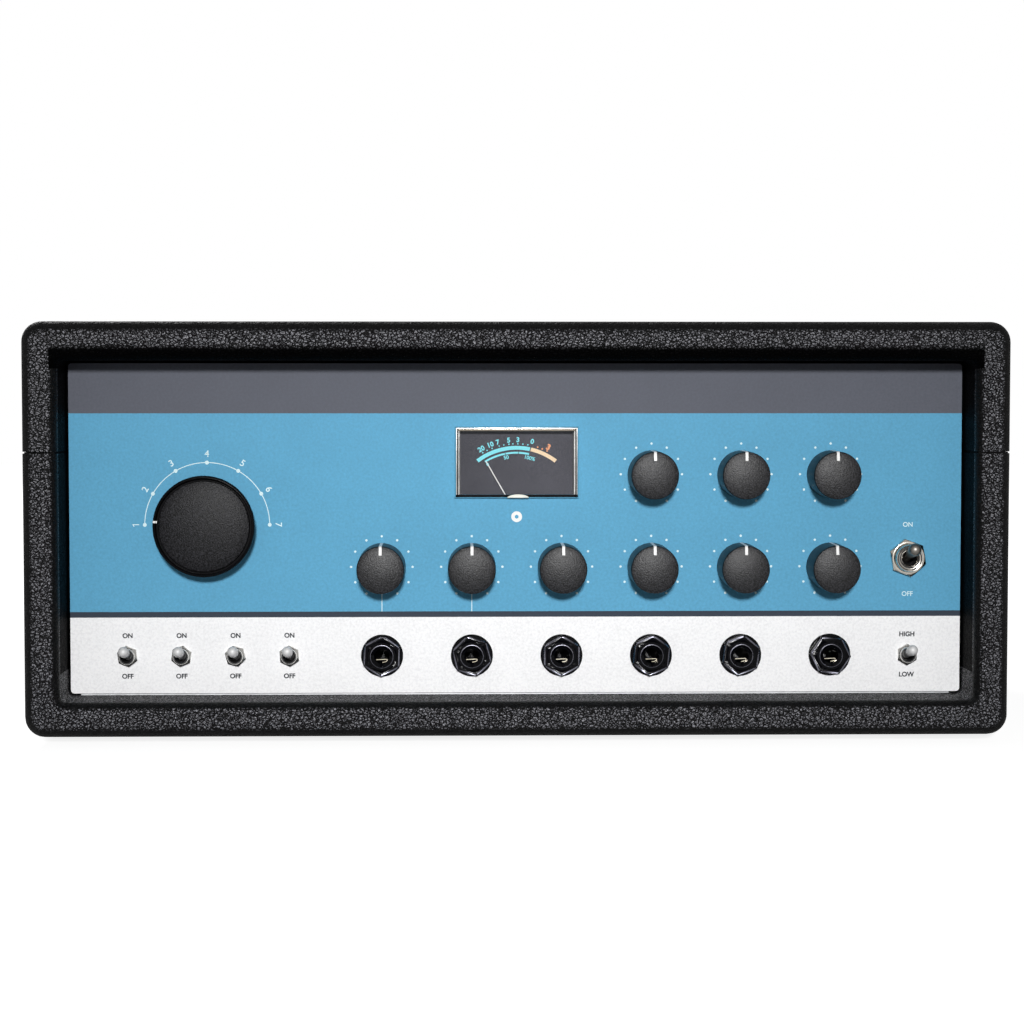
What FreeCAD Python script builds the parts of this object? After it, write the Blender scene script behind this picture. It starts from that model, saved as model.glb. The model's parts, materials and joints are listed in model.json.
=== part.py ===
import FreeCAD, Part
import math
import os

# Tape echo unit: a vinyl-covered wooden cabinet with a hinged lid, a recessed control panel and a loop tape deck.
#
# Millimetres. Origin: centre of the footprint, on the surface the feet stand on. +Z is up and the panel faces -Y.
# Each function below makes one sub-part, and keep() writes it to parts/NODE.step.

Vector = FreeCAD.Vector
os.makedirs("parts", exist_ok=True)

# ---- Cabinet ----
case_width = 410.0
case_depth = 280.0
case_height = 172.5      # cabinet without its feet
board = 14.5             # side, bottom and back boards with their covering
top_board = 16.0
lid_height = 54.2        # from the seam to the top
seam_gap = 0.8
corner_radius = 8.5      # long corners that run front to back
outer_round = 6.0        # outer edges of the front and back
inner_round = 4.0        # inner edges of the front opening
inner_corner = 3.0       # corners inside the box
panel_recess = 26.5      # panel face behind the cabinet's front edge

# ---- Feet ----
foot_height = 4.0
foot_radius = 11.0
foot_in_x = 40.0         # foot centre from the cabinet's side
foot_in_y = 45.0
foot_screw_radius = 2.0
foot_screw_length = 12.0
foot_sink_radius = 4.2   # room for the screw's head
foot_sink_depth = 2.2

# ---- Lid hinges ----
hinge_inset = 5.5        # pin axis ahead of the back face
lid_stop_angle = 100.0   # the two back bevels meet here
stop_spare = 2.0         # bevel angle left over at the stop
hinge_in = 75.0          # hinge's middle from the cabinet's side
hinge_length = 50.0
hinge_knuckles = 5
knuckle_radius = 2.6
knuckle_gap = 0.3
knuckle_clear = 0.6
hinge_pin_radius = 1.2
pin_clear = 0.05
leaf_thick = 1.2
leaf_margin = 1.0        # leaf's edge from the board's inner face
leaf_split = 0.15        # each leaf from the hinge's middle plane

# ---- Front panel and chassis ----
panel_gap = 1.0
panel_thick = 2.0
panel_corner = 1.5
sheet = 1.2              # chassis steel
chassis_in = 4.0         # chassis edge inside the panel's edge
chassis_top_drop = 3.0
gusset_height = 60.0
gusset_reach = 34.0
hole_clear = 0.15

# ---- Where the controls are, from the panel's edges ----
columns = 6              # knobs and jacks; the meter stands between the second and the third
columns_left = 132.05    # first column from the left edge
columns_right = 55.95    # last column from the right edge
low_knob_height = 53.7   # heights above the panel's lower edge
socket_height = 15.9
mode_height = 71.7
power_height = 57.3
row_pitch = 39.3         # upper knobs above the lower ones
meter_over_pots = 2.1    # meter's case above the lower potentiometers
mode_in = 58.2           # mode knob from the left edge
toggle_in = 24.15        # first toggle from the left edge
toggle_pitch = 22.85
switch_in = 22.7         # power switch from the right edge

# ---- Small knobs and their potentiometers ----
knob_base_radius = 10.2
knob_top_radius = 9.65
knob_height = 20.9       # top face above the panel
knob_bevel = 0.45
knob_gap = 0.8
knob_wall = 2.6
knob_hollow_depth = 4.8
knob_cap_thick = 2.0
mark_width = 1.0
mark_depth = 0.3
mark_length = 3.6
shaft_radius = 3.0
shaft_clear = 0.05
bush_wall = 0.6
bush_proud = 4.9         # bush above the panel's face
shaft_past = 2.0         # shaft's end behind the chassis wall
pot_radius = 8.2
pot_depth = 8.6
pot_lug_width = 13.0
pot_lug_drop = 13.0
pot_lug_thick = 1.6

# ---- Echo mode knob and its rotary switch ----
mode_base_radius = 21.6
mode_top_radius = 21.2
mode_knob_height = 15.4
mode_lip = 2.0
mode_groove_width = 0.6
mode_groove_depth = 1.6
mode_face_drop = 0.5
mode_hollow_radius = 17.5
mode_hollow_depth = 6.5
mode_hub_radius = 7.5
mode_mark_width = 1.3
rotary_radius = 13.5
rotary_depth = 22.0
rotary_lugs = 12
rotary_lug_length = 4.0

# ---- Jack sockets ----
jack_bore_radius = 3.25
jack_bush_radius = 5.9
jack_proud = 5.0
jack_mouth_radius = 4.7
jack_mouth_depth = 1.1
jack_bore_depth = 8.0    # bore behind the panel's face
jack_chamber_radius = 4.6
jack_body_width = 20.0
jack_body_height = 21.0
jack_body_depth = 26.0
jack_wall = 2.0
jack_nut_across = 15.3
jack_nut_thick = 3.0
jack_nut_turns = (-3.0, 14.0, 0.0, -6.0, -8.0, 26.0)
jack_flange_radius = 8.95
jack_flange_thick = 1.0
contact_thick = 0.5
contact_width = 4.0
contact_drop = 1.3       # crest below the bore's axis

# ---- Small toggle switches ----
toggle_bush_radius = 3.15
toggle_proud = 4.2
toggle_play = 0.2        # lever's room in the bush's mouth
toggle_pivot_depth = 1.0 # pivot behind the panel's face
toggle_lever_tip = 15.2  # lever's end above the panel's face
toggle_lever_radius = 1.8
toggle_neck_radius = 1.0
toggle_ball_radius = 1.5
toggle_pin_radius = 0.5  # cross pin the lever turns on
toggle_pin_reach = 2.4   # pin's end from the lever's middle
toggle_tilt = 12.5       # degrees up or down from straight out
toggle_nut_across = 8.0
toggle_nut_thick = 2.0
toggle_body_width = 8.2
toggle_body_height = 13.2
toggle_body_depth = 10.5
toggle_lug_length = 4.0

# ---- Power switch ----
power_bush_radius = 5.65
power_proud = 5.4
power_play = 0.4
power_pivot_depth = 1.5
power_lever_tip = 19.4
power_lever_radius = 2.7
power_neck_radius = 1.2
power_ball_radius = 2.0
power_pin_radius = 0.8
power_pin_reach = 4.4
power_tilt = 14.0
power_nut_across = 14.3
power_nut_thick = 2.6
power_key_width = 1.8
power_key_depth = 0.8
power_body_width = 18.0
power_body_height = 30.0
power_body_depth = 20.0
power_lug_length = 7.0
lug_half = 1.2           # switch lugs
lug_thick = 1.0

# ---- Level meter ----
meter_width = 51.8
meter_tall = 29.8
meter_frame = 1.9        # bezel's bars at the top and sides
meter_foot = 1.1         # bezel's lower bar
meter_proud = 3.4
meter_corner = 0.8
meter_chamfer = 0.5
meter_lap = 1.2          # bezel past the case's sides
meter_wall = 0.8
meter_case_depth = 24.0
lens_thick = 1.2
lens_drop = 0.5
lens_seat = 0.8          # lens edge inside the bezel's bars
dial_gap = 1.6           # dial face behind the panel's back
dial_thick = 0.6
needle_below = 8.3       # needle pivot below the bezel's lower edge
needle_gap = 0.5         # needle behind the panel's back
needle_length = 28.2
needle_tail = 5.0
needle_width = 0.55
needle_thick = 0.3
needle_rest = 29.6       # degrees left of upright
needle_hub_radius = 2.4
needle_hub_thick = 3.0
needle_room = 11.0       # case below the needle's pivot
pivot_radius = 0.5
movement_radius = 7.0

# ---- Deck ----
deck_rise = -2.4         # deck's upper face from the lid seam
deck_thick = 2.5
deck_front = 38.0        # deck edge behind the chassis wall
cover_foot = 7.0         # control cover's foot on the deck
deck_side_gap = 5.0
deck_back_gap = 6.0
deck_corner = 4.0
pillar_across = 8.0
pillar_in = 9.0
screw_radius = 1.5

# ---- Tape, its tank and its guides ----
tape_width = 6.3
tape_thick = 0.2
tape_lift = 7.0          # lower tape edge above the deck
tape_in = 26.0           # run past the heads, from the deck's front edge
tape_room = 1.7          # tank's rim above the tape
tank_left = 16.0         # tank walls from the deck's edges
tank_right = 87.0
tank_back = 4.0
tank_depth = 108.0
tank_wall = 2.0
tank_floor = 2.0
slot_width = 7.0
entry_in = 14.0          # where the tape comes in, from the tank's back wall
cover_thick = 3.0
cover_lip = 4.0
thumb_radius = 6.0
boss_radius = 3.6
boss_in = 26.0           # thumb screw from the tank's end
thumb_height = 8.0
fold_count = 3
fold_right = 55.0        # last fold from the tank's right end
fold_margin = 12.0
fold_radius = 8.0
guide_radius = 5.0
guide_flange = 1.6
guide_clear = 0.15
guide_past_capstan = 20.0

# ---- Heads ----
head_count = 5
head_first = 52.5        # erase head from the tape's way out of the tank
head_last = 75.0         # last playback head from the capstan
head_width = 13.0
head_depth = 11.0
head_height = 14.0
head_nose_radius = 9.0
head_base_thick = 3.0
head_base_margin = 9.0
head_base_in = 4.0       # base behind the heads' faces
head_base_depth = 16.0
head_clear = 0.1

# ---- Capstan drive ----
flywheel_side = 11.5     # flywheel from the deck's edge
capstan_radius = 2.0
capstan_clear = 0.15
capstan_top = 22.0       # above the deck
bearing_radius = 8.0
bearing_nose_radius = 3.5
bearing_up = 2.0
bearing_gap = 4.0        # bearing above the flywheel
bearing_flange = 4.0
bearing_flange_thick = 3.0
collar_thick = 1.5
flywheel_radius = 39.0
flywheel_thick = 10.0
flywheel_drop = 56.0     # flywheel's lower face under the deck's upper face
flywheel_rim = 8.0
flywheel_web = 4.0
motor_span = 103.0       # motor from the capstan, across
motor_line = 54.0        # motor behind the deck's front edge
motor_radius = 22.0
motor_nose = 2.0
motor_nose_radius = 5.0
motor_bore = 6.0
pulley_gap = 2.0
motor_shaft_radius = 1.5
pulley_radius = 7.0
pulley_rim = 1.2         # flanges past the belt
pulley_flange = 1.5
pulley_side = 0.5        # belt's room between the flanges
belt_thick = 1.0
belt_width = 5.0
belt_clear = 0.08

# ---- Pinch roller ----
pinch_radius = 7.0
pinch_height = 11.0
pinch_axle_radius = 1.5
pinch_arm_length = 30.0
pinch_arm_angle = 12.0   # arm from the line of the tape
pinch_arm_width = 9.0
pinch_arm_thick = 2.0
pinch_arm_lift = 1.5
pinch_post_radius = 2.0

# ---- Electronics ----
transformer_side = 32.5  # core from the cabinet's inner side
transformer_line = 150.0 # behind the chassis wall
transformer_radius = 40.0
transformer_height = 34.0
transformer_eye = 12.0
plate_radius = 24.0
pcb_gap = 29.0           # board from the core
pcb_side = 49.5          # board from the cabinet's inner side
pcb_line = 118.0         # behind the chassis wall
pcb_depth = 120.0
pcb_thick = 1.6
pcb_lift = 9.0
pcb_post_radius = 3.0
pcb_post_in = 6.0
capacitor_radius = 6.0
capacitor_height = 22.0
capacitor_pitch = 15.6
capacitor_in = 16.0      # first capacitor from the board's right edge
capacitor_back = 12.0
chip_width = 19.0
chip_depth = 7.0
chip_height = 3.4
chip_left = 22.0         # first chip from the board's corner
chip_front = 18.0
chip_gap = 12.0
chip_row_gap = 14.0

# ---- Rear panel and mains inlet ----
rear_side = 40.5         # panel from the cabinet's inner sides
rear_drop = 15.8         # panel under the lid's seam
rear_rise = 8.0          # above the inner floor
rear_lap = 8.0
rear_recess = 8.0
rear_thick = 1.5
vent_count = 9
vent_pitch = 9.0
vent_width = 3.2
vent_height = 22.0
vent_in = 80.0           # vents' middle from the panel's right end
inlet_in = 46.0          # inlet's middle from its left end
inlet_width = 48.0
inlet_height = 30.0
inlet_flange = 2.5
inlet_depth = 24.0
socket_width = 24.0
socket_tall = 16.5
socket_depth = 16.0
socket_shift = 9.0
blade_long = 4.0
blade_thick = 2.0
blade_length = 12.0
fuse_drawer_width = 12.0
fuse_drawer_proud = 1.2

# ---- Places worked out from the sizes above ----
half_width = case_width / 2
front_y = -case_depth / 2
back_y = case_depth / 2
case_bottom = foot_height
case_top = case_bottom + case_height
inner_floor = case_bottom + board
inner_roof = case_top - top_board
seam_z = case_top - lid_height
rim_z = seam_z - seam_gap / 2
lid_rim_z = seam_z + seam_gap / 2
inner_half = half_width - board
inner_back = back_y - board
hinge_y = back_y - hinge_inset
bevel_angle = lid_stop_angle / 2 + stop_spare / 2
leaf_reach = board - hinge_inset - leaf_margin
hinge_x = half_width - hinge_in

panel_y = front_y + panel_recess
panel_back = panel_y + panel_thick
wall_back = panel_back + sheet
panel_half = inner_half - panel_gap
panel_low = inner_floor + panel_gap
panel_high = inner_roof - panel_gap
tray_top = inner_floor + sheet

column_pitch = (2 * panel_half - columns_left - columns_right) / (columns - 1)
knob_columns = [columns_left - panel_half + column_pitch * i for i in range(columns)]
low_row = panel_low + low_knob_height
high_row = low_row + row_pitch
socket_row = panel_low + socket_height
mode_x = mode_in - panel_half
mode_z = panel_low + mode_height
switch_x = panel_half - switch_in
power_z = panel_low + power_height
meter_x = (knob_columns[1] + knob_columns[2]) / 2
knob_places = {
    "guitar_volume_knob": (knob_columns[0], low_row),
    "line_volume_knob": (knob_columns[1], low_row),
    "reverb_decay_knob": (knob_columns[2], low_row),
    "reverb_volume_knob": (knob_columns[3], low_row),
    "speed_knob": (knob_columns[4], low_row),
    "echo_volume_knob": (knob_columns[5], low_row),
    "bass_knob": (knob_columns[3], high_row),
    "treble_knob": (knob_columns[4], high_row),
    "feedback_knob": (knob_columns[5], high_row),
}
toggle_names = ["direct_lever", "motor_lever", "layering_lever", "echo_lever"]
toggle_places = {
    name: (toggle_in - panel_half + toggle_pitch * i, socket_row) for i, name in enumerate(toggle_names)
}
toggle_places["output_level_lever"] = (switch_x, socket_row)
bush_radius = shaft_radius + shaft_clear + bush_wall

deck_top = seam_z + deck_rise
deck_under = deck_top - deck_thick
deck_half = inner_half - deck_side_gap
deck_y0 = wall_back + deck_front
deck_y1 = inner_back - deck_back_gap
tape_y = deck_y0 + tape_in
tape_low = deck_top + tape_lift
tape_high = tape_low + tape_width
tank_x0 = tank_left - deck_half
tank_x1 = deck_half - tank_right
tank_y1 = deck_y1 - tank_back
tank_y0 = tank_y1 - tank_depth
tank_rim = tape_high + tape_room
capstan_x = deck_half - flywheel_side - flywheel_radius
capstan_y = tape_y + tape_thick / 2 + capstan_clear + capstan_radius
pinch_y = tape_y - tape_thick / 2 - capstan_clear - pinch_radius
flywheel_low = deck_top - flywheel_drop
flywheel_high = flywheel_low + flywheel_thick
belt_z = (flywheel_low + flywheel_high) / 2
motor_x = capstan_x - motor_span
motor_y = deck_y0 + motor_line
pulley_top = belt_z + belt_width / 2 + pulley_side + pulley_flange
motor_low = pulley_top + pulley_gap + motor_nose
guide_offset = guide_radius + guide_clear + tape_thick / 2
guide_right_x = capstan_x + guide_past_capstan
tape_exit_x = tank_x0 + tank_wall + slot_width
tape_entry_y = tank_y1 - tank_wall - entry_in
fold_pitch = (tank_x1 - fold_right - tape_exit_x) / (2 * fold_count)
head_pitch = (capstan_x - head_last - tape_exit_x - head_first) / (head_count - 1)
head_face_y = tape_y + tape_thick / 2 + head_clear
meter_case_low = low_row + pot_radius + meter_over_pots
needle_z = meter_case_low + needle_room
meter_low = needle_z + needle_below
meter_high = meter_low + meter_tall
meter_half = meter_width / 2 - meter_lap
meter_case_top = meter_high - meter_lap
arm_turn = math.radians(pinch_arm_angle)
arm_pivot_x = capstan_x - pinch_arm_length * math.cos(arm_turn)
arm_pivot_y = pinch_y - pinch_arm_length * math.sin(arm_turn)
transformer_x = transformer_side + transformer_radius - inner_half
transformer_y = wall_back + transformer_line
pcb_x0 = transformer_x + transformer_radius + pcb_gap
pcb_x1 = inner_half - pcb_side
pcb_y0 = wall_back + pcb_line - pcb_depth / 2
pcb_y1 = pcb_y0 + pcb_depth
rear_half = inner_half - rear_side
rear_low = inner_floor + rear_rise
rear_high = seam_z - rear_drop
rear_z = (rear_low + rear_high) / 2
rear_y = back_y - rear_recess
vent_x = rear_half - vent_in
inlet_x = inlet_in - rear_half


# ---- Helpers ----
def keep(node, *solids):
    """Writes a node's solids to its STEP file."""
    found = [s for shape in solids for s in shape.Solids]
    shape = found[0] if len(found) == 1 else Part.makeCompound(found)
    shape.exportStep(os.path.join("parts", node + ".step"))


def block(x0, x1, y0, y1, z0, z1):
    return Part.makeBox(x1 - x0, y1 - y0, z1 - z0, Vector(x0, y0, z0))


def rod_x(y, z, x0, x1, radius):
    return Part.makeCylinder(radius, x1 - x0, Vector(x0, y, z), Vector(1, 0, 0))


def rod_y(x, z, y0, y1, radius):
    return Part.makeCylinder(radius, y1 - y0, Vector(x, y0, z), Vector(0, 1, 0))


def rod_z(x, y, z0, z1, radius):
    return Part.makeCylinder(radius, z1 - z0, Vector(x, y, z0), Vector(0, 0, 1))


def turned_y(x, z, profile):
    """Solid of revolution about the Y direction through (x, z); the profile is (radius, y) points."""
    wire = Part.makePolygon([Vector(r, y, 0) for r, y in profile + profile[:1]])
    solid = Part.Face(wire).revolve(Vector(0, 0, 0), Vector(0, 1, 0), 360)
    solid.translate(Vector(x, 0, z))
    return solid


def turned_z(x, y, profile):
    """Solid of revolution about the vertical through (x, y); the profile is (radius, z) points."""
    wire = Part.makePolygon([Vector(r, 0, z) for r, z in profile + profile[:1]])
    solid = Part.Face(wire).revolve(Vector(0, 0, 0), Vector(0, 0, 1), 360)
    solid.translate(Vector(x, y, 0))
    return solid


def hexagon_y(x, z, y0, y1, across, turn=0.0):
    """Hexagonal prism along Y, a corner at the top plus turn degrees."""
    reach = across / math.sqrt(3)
    angles = [math.radians(turn + 60 * i) for i in range(7)]
    wire = Part.makePolygon([Vector(x + reach * math.sin(a), y0, z + reach * math.cos(a)) for a in angles])
    return Part.Face(wire).extrude(Vector(0, y1 - y0, 0))


def hexagon_z(x, y, z0, z1, across):
    reach = across / math.sqrt(3)
    angles = [math.radians(60 * i) for i in range(7)]
    wire = Part.makePolygon([Vector(x + reach * math.cos(a), y + reach * math.sin(a), z0) for a in angles])
    return Part.Face(wire).extrude(Vector(0, 0, z1 - z0))


def outline(corners, place):
    """Closed wire through (u, v, radius) corners, each rounded by its radius; place puts a flat point in space."""
    flat = [Vector(u, v, 0) for u, v, radius in corners]
    turns = []
    for i, (u, v, radius) in enumerate(corners):
        to_last = (flat[i - 1] - flat[i]).normalize()
        to_next = (flat[(i + 1) % len(flat)] - flat[i]).normalize()
        half = to_last.getAngle(to_next) / 2
        reach = radius / math.tan(half)
        bisector = (to_last + to_next).normalize()
        middle = flat[i] + bisector * (radius / math.sin(half) - radius)
        turns.append((flat[i] + to_last * reach, middle, flat[i] + to_next * reach))
    edges = []
    for i, (start, middle, stop) in enumerate(turns):
        if corners[i][2] > 0:
            edges.append(Part.Arc(place(start), place(middle), place(stop)).toShape())
        following = turns[(i + 1) % len(turns)][0]
        if (following - stop).Length > 1e-6:
            edges.append(Part.makeLine(place(stop), place(following)))
    return Part.Wire(edges)


def prism_y(corners, y0, y1):
    """Prism along Y of an outline of (x, z, radius) corners."""
    wire = outline(corners, lambda p: Vector(p.x, y0, p.y))
    return Part.Face(wire).extrude(Vector(0, y1 - y0, 0))


def prism_z(corners, z0, z1):
    """Prism along Z of an outline of (x, y, radius) corners."""
    wire = outline(corners, lambda p: Vector(p.x, p.y, z0))
    return Part.Face(wire).extrude(Vector(0, 0, z1 - z0))


def prism_x(corners, x0, x1):
    """Prism along X of an outline of (y, z, radius) corners."""
    wire = outline(corners, lambda p: Vector(x0, p.x, p.y))
    return Part.Face(wire).extrude(Vector(x1 - x0, 0, 0))


def rectangle(u0, u1, v0, v1, radius=0.0):
    return [(u0, v0, radius), (u1, v0, radius), (u1, v1, radius), (u0, v1, radius)]


def middle_of(edge):
    return edge.valueAt((edge.FirstParameter + edge.LastParameter) / 2)


def edges_on_y(shape, y, chosen):
    """Edges that lie in the plane at y and whose middle passes the test."""
    flat = [e for e in shape.Edges if abs(e.BoundBox.YMin - y) < 1e-4 and abs(e.BoundBox.YMax - y) < 1e-4]
    return [e for e in flat if chosen(middle_of(e))]


def tilted(shape, x, y, z, degrees):
    """Turns a shape up about a crosswise axis through a point; its -Y end rises."""
    shape.rotate(Vector(x, y, z), Vector(1, 0, 0), -degrees)
    return shape


# ---- Cabinet ----
def soften(shape, outer_side, mouth_side):
    """Rounds the outer edges of front and back, then the inner edges of the front opening."""
    outer = edges_on_y(shape, front_y, outer_side) + edges_on_y(shape, back_y, outer_side)
    shape = shape.makeFillet(min(outer_round, corner_radius - 0.5), outer)
    return shape.makeFillet(inner_round, edges_on_y(shape, front_y, mouth_side))


def hinge_relief(side):
    """What the hinges take out of a board: the bevel that stops the lid, the knuckles' room and the leaf's mortise.

    side is +1 for the lid and -1 for the case.
    """
    reach = hinge_inset + 6
    fall = reach * math.tan(math.radians(bevel_angle))
    far = half_width + 1
    bevel = [(hinge_y, seam_z, 0), (hinge_y + reach, seam_z, 0), (hinge_y + reach, seam_z + side * fall, 0)]
    cut = prism_x(bevel, -far, far)
    leaf_face = seam_z + side * (leaf_split + leaf_thick)
    for x in (-hinge_x, hinge_x):
        x0 = x - hinge_length / 2 - knuckle_clear
        x1 = x + hinge_length / 2 + knuckle_clear
        cut = cut.fuse(rod_x(hinge_y, seam_z, x0, x1, knuckle_radius + knuckle_clear))
        z0, z1 = sorted((seam_z, leaf_face))
        cut = cut.fuse(block(x0, x1, hinge_y - leaf_reach - knuckle_clear, hinge_y, z0, z1))
    return cut


def lower_case():
    left, right = -half_width, half_width
    shell = prism_y(
        [(left, case_bottom, corner_radius), (right, case_bottom, corner_radius),
         (right, rim_z, 0), (left, rim_z, 0)],
        front_y, back_y,
    )
    room = prism_y(
        [(-inner_half, inner_floor, inner_corner), (inner_half, inner_floor, inner_corner),
         (inner_half, rim_z + 5, 0), (-inner_half, rim_z + 5, 0)],
        front_y - 5, inner_back,
    )
    shell = shell.cut(room)

    def outer_side(p):
        return p.z < rim_z - 0.1 and max(abs(p.x) - half_width + board / 2, case_bottom + board / 2 - p.z) > 0

    def mouth_side(p):
        return p.z < rim_z - 0.1 and not outer_side(p)

    shell = soften(shell, outer_side, mouth_side)
    shell = shell.cut(hinge_relief(-1))
    rebate = rectangle(-rear_half - panel_gap, rear_half + panel_gap,
                       rear_low - panel_gap, rear_high + panel_gap, 2.0)
    shell = shell.cut(prism_y(rebate, rear_y - rear_thick, back_y + 1))
    window = rectangle(rear_lap - rear_half, rear_half - rear_lap, rear_low + rear_lap, rear_high - rear_lap, 2.0)
    shell = shell.cut(prism_y(window, inner_back - 1, back_y + 1))
    for x, y in foot_places():
        shell = shell.cut(rod_z(x, y, case_bottom - 1, case_bottom + foot_screw_length, foot_screw_radius))
    for x, z in rear_screw_places():
        shell = shell.cut(rod_y(x, z, inner_back - 1, rear_y, screw_radius))
    return shell


def lid():
    left, right = -half_width, half_width
    shell = prism_y(
        [(left, lid_rim_z, 0), (right, lid_rim_z, 0),
         (right, case_top, corner_radius), (left, case_top, corner_radius)],
        front_y, back_y,
    )
    room = prism_y(
        [(-inner_half, lid_rim_z - 5, 0), (inner_half, lid_rim_z - 5, 0),
         (inner_half, inner_roof, inner_corner), (-inner_half, inner_roof, inner_corner)],
        front_y - 5, inner_back,
    )
    shell = shell.cut(room)

    def outer_side(p):
        return p.z > lid_rim_z + 0.1 and max(abs(p.x) - half_width + board / 2, p.z - case_top + top_board / 2) > 0

    def mouth_side(p):
        return p.z > lid_rim_z + 0.1 and not outer_side(p)

    return soften(shell, outer_side, mouth_side).cut(hinge_relief(1))


def foot_places():
    x, y = half_width - foot_in_x, case_depth / 2 - foot_in_y
    return [(-x, -y), (x, -y), (x, y), (-x, y)]


def rubber_feet():
    feet = []
    for x, y in foot_places():
        foot = turned_z(x, y, [
            (foot_screw_radius, 0), (foot_radius - 1, 0), (foot_radius, 1),
            (foot_radius, foot_height), (foot_screw_radius, foot_height),
        ])
        feet.append(foot.cut(rod_z(x, y, -1, foot_sink_depth, foot_sink_radius)))
    return feet


# ---- Hinges ----
def hinge_leaf(x, side):
    """One leaf with its share of the knuckles; the case leaf has the outer ones."""
    knuckle = hinge_length / hinge_knuckles
    x0 = x - hinge_length / 2
    z0, z1 = sorted((seam_z + side * leaf_split, seam_z + side * (leaf_split + leaf_thick)))
    leaf = block(x0, x0 + hinge_length, hinge_y - leaf_reach, hinge_y - hinge_pin_radius, z0, z1)
    for i in range(hinge_knuckles):
        start, stop = x0 + i * knuckle, x0 + (i + 1) * knuckle
        if (i % 2 == 0) == (side < 0):
            leaf = leaf.fuse(rod_x(hinge_y, seam_z, start + knuckle_gap / 2, stop - knuckle_gap / 2,
                                   knuckle_radius))
        else:
            room = rod_x(hinge_y, seam_z, start - knuckle_gap / 2, stop + knuckle_gap / 2,
                         knuckle_radius + knuckle_gap)
            leaf = leaf.cut(room)
    bore = hinge_pin_radius + (pin_clear if side > 0 else 0)
    return leaf.cut(rod_x(hinge_y, seam_z, x0 - 1, x0 + hinge_length + 1, bore))


def case_hinge_leaves():
    """The fixed leaves, and the pins that stay in them."""
    parts = []
    for x in (-hinge_x, hinge_x):
        parts.append(hinge_leaf(x, -1))
        parts.append(rod_x(hinge_y, seam_z, x - hinge_length / 2, x + hinge_length / 2, hinge_pin_radius))
    return parts


def lid_hinge_leaves():
    return [hinge_leaf(x, 1) for x in (-hinge_x, hinge_x)]


# ---- Panel and chassis ----
def panel_holes(y0, y1, extra):
    """Every opening that the controls need in the panel, and in the chassis wall with extra room."""
    holes = []
    for x, z in knob_places.values():
        holes.append(rod_y(x, z, y0, y1, bush_radius + hole_clear + extra))
    holes.append(rod_y(mode_x, mode_z, y0, y1, bush_radius + 1 + hole_clear + extra))
    for x in knob_columns:
        holes.append(rod_y(x, socket_row, y0, y1, jack_bush_radius + hole_clear + extra))
    for x, z in toggle_places.values():
        holes.append(rod_y(x, z, y0, y1, toggle_bush_radius + hole_clear + extra))
    holes.append(rod_y(switch_x, power_z, y0, y1, power_bush_radius + hole_clear + extra))
    holes.append(block(meter_x - meter_half - hole_clear, meter_x + meter_half + hole_clear, y0, y1,
                       meter_low + meter_foot, meter_case_top + hole_clear))
    return holes


def front_panel():
    plate = prism_y(rectangle(-panel_half, panel_half, panel_low, panel_high, panel_corner), panel_y, panel_back)
    return plate.cut(panel_holes(panel_y - 1, panel_back + 1, 0))


def chassis():
    """Folded steel tray: a wall behind the panel, a floor, and a gusset at each end."""
    x0, x1 = -panel_half + chassis_in, panel_half - chassis_in
    wall = block(x0, x1, panel_back, wall_back, inner_floor, panel_high - chassis_top_drop)
    wall = wall.cut(panel_holes(panel_back - 1, wall_back + 1, 0.3))
    wall = wall.cut(block(meter_x - meter_half - 2 * hole_clear, meter_x + meter_half + 2 * hole_clear,
                          panel_back - 1, wall_back + 1,
                          meter_case_low - hole_clear, meter_case_top + 2 * hole_clear))
    floor = block(x0, x1, panel_back, deck_y1, inner_floor, tray_top)
    tray = wall.fuse(floor)
    for start in (x0, x1 - sheet):
        gusset = [(panel_back, inner_floor, 0), (wall_back + gusset_reach, inner_floor, 0),
                  (wall_back + gusset_reach, tray_top, 0), (wall_back, inner_floor + gusset_height, 0),
                  (panel_back, inner_floor + gusset_height, 0)]
        tray = tray.fuse(prism_x(gusset, start, start + sheet))
    return tray.removeSplitter()


# ---- Small knobs ----
def knob_body(x, z, base, top, height, bevel, hollow, depth):
    """Tapered knob on the axis at (x, z), hollow underneath, bored for its shaft."""
    y0 = panel_y - knob_gap
    y1 = panel_y - height
    ceiling = y0 - depth
    socket = y1 + knob_cap_thick
    return turned_y(x, z, [
        (shaft_radius, ceiling), (hollow, ceiling), (hollow, y0), (base, y0), (top, y1 + bevel),
        (top - bevel, y1), (0, y1), (0, socket), (shaft_radius, socket),
    ])


def small_knob(x, z):
    knob = knob_body(x, z, knob_base_radius, knob_top_radius, knob_height, knob_bevel,
                     knob_base_radius - knob_wall, knob_hollow_depth)
    y1 = panel_y - knob_height
    half = mark_width / 2
    mark = block(x - half, x + half, y1 - 1, y1 + mark_depth,
                 z + knob_top_radius - mark_length, z + knob_base_radius + 1)
    return [knob.cut(mark), control_shaft(x, z, knob_height)]


def control_shaft(x, z, height):
    return rod_y(x, z, panel_y - height + knob_cap_thick, wall_back + shaft_past, shaft_radius)


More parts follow.
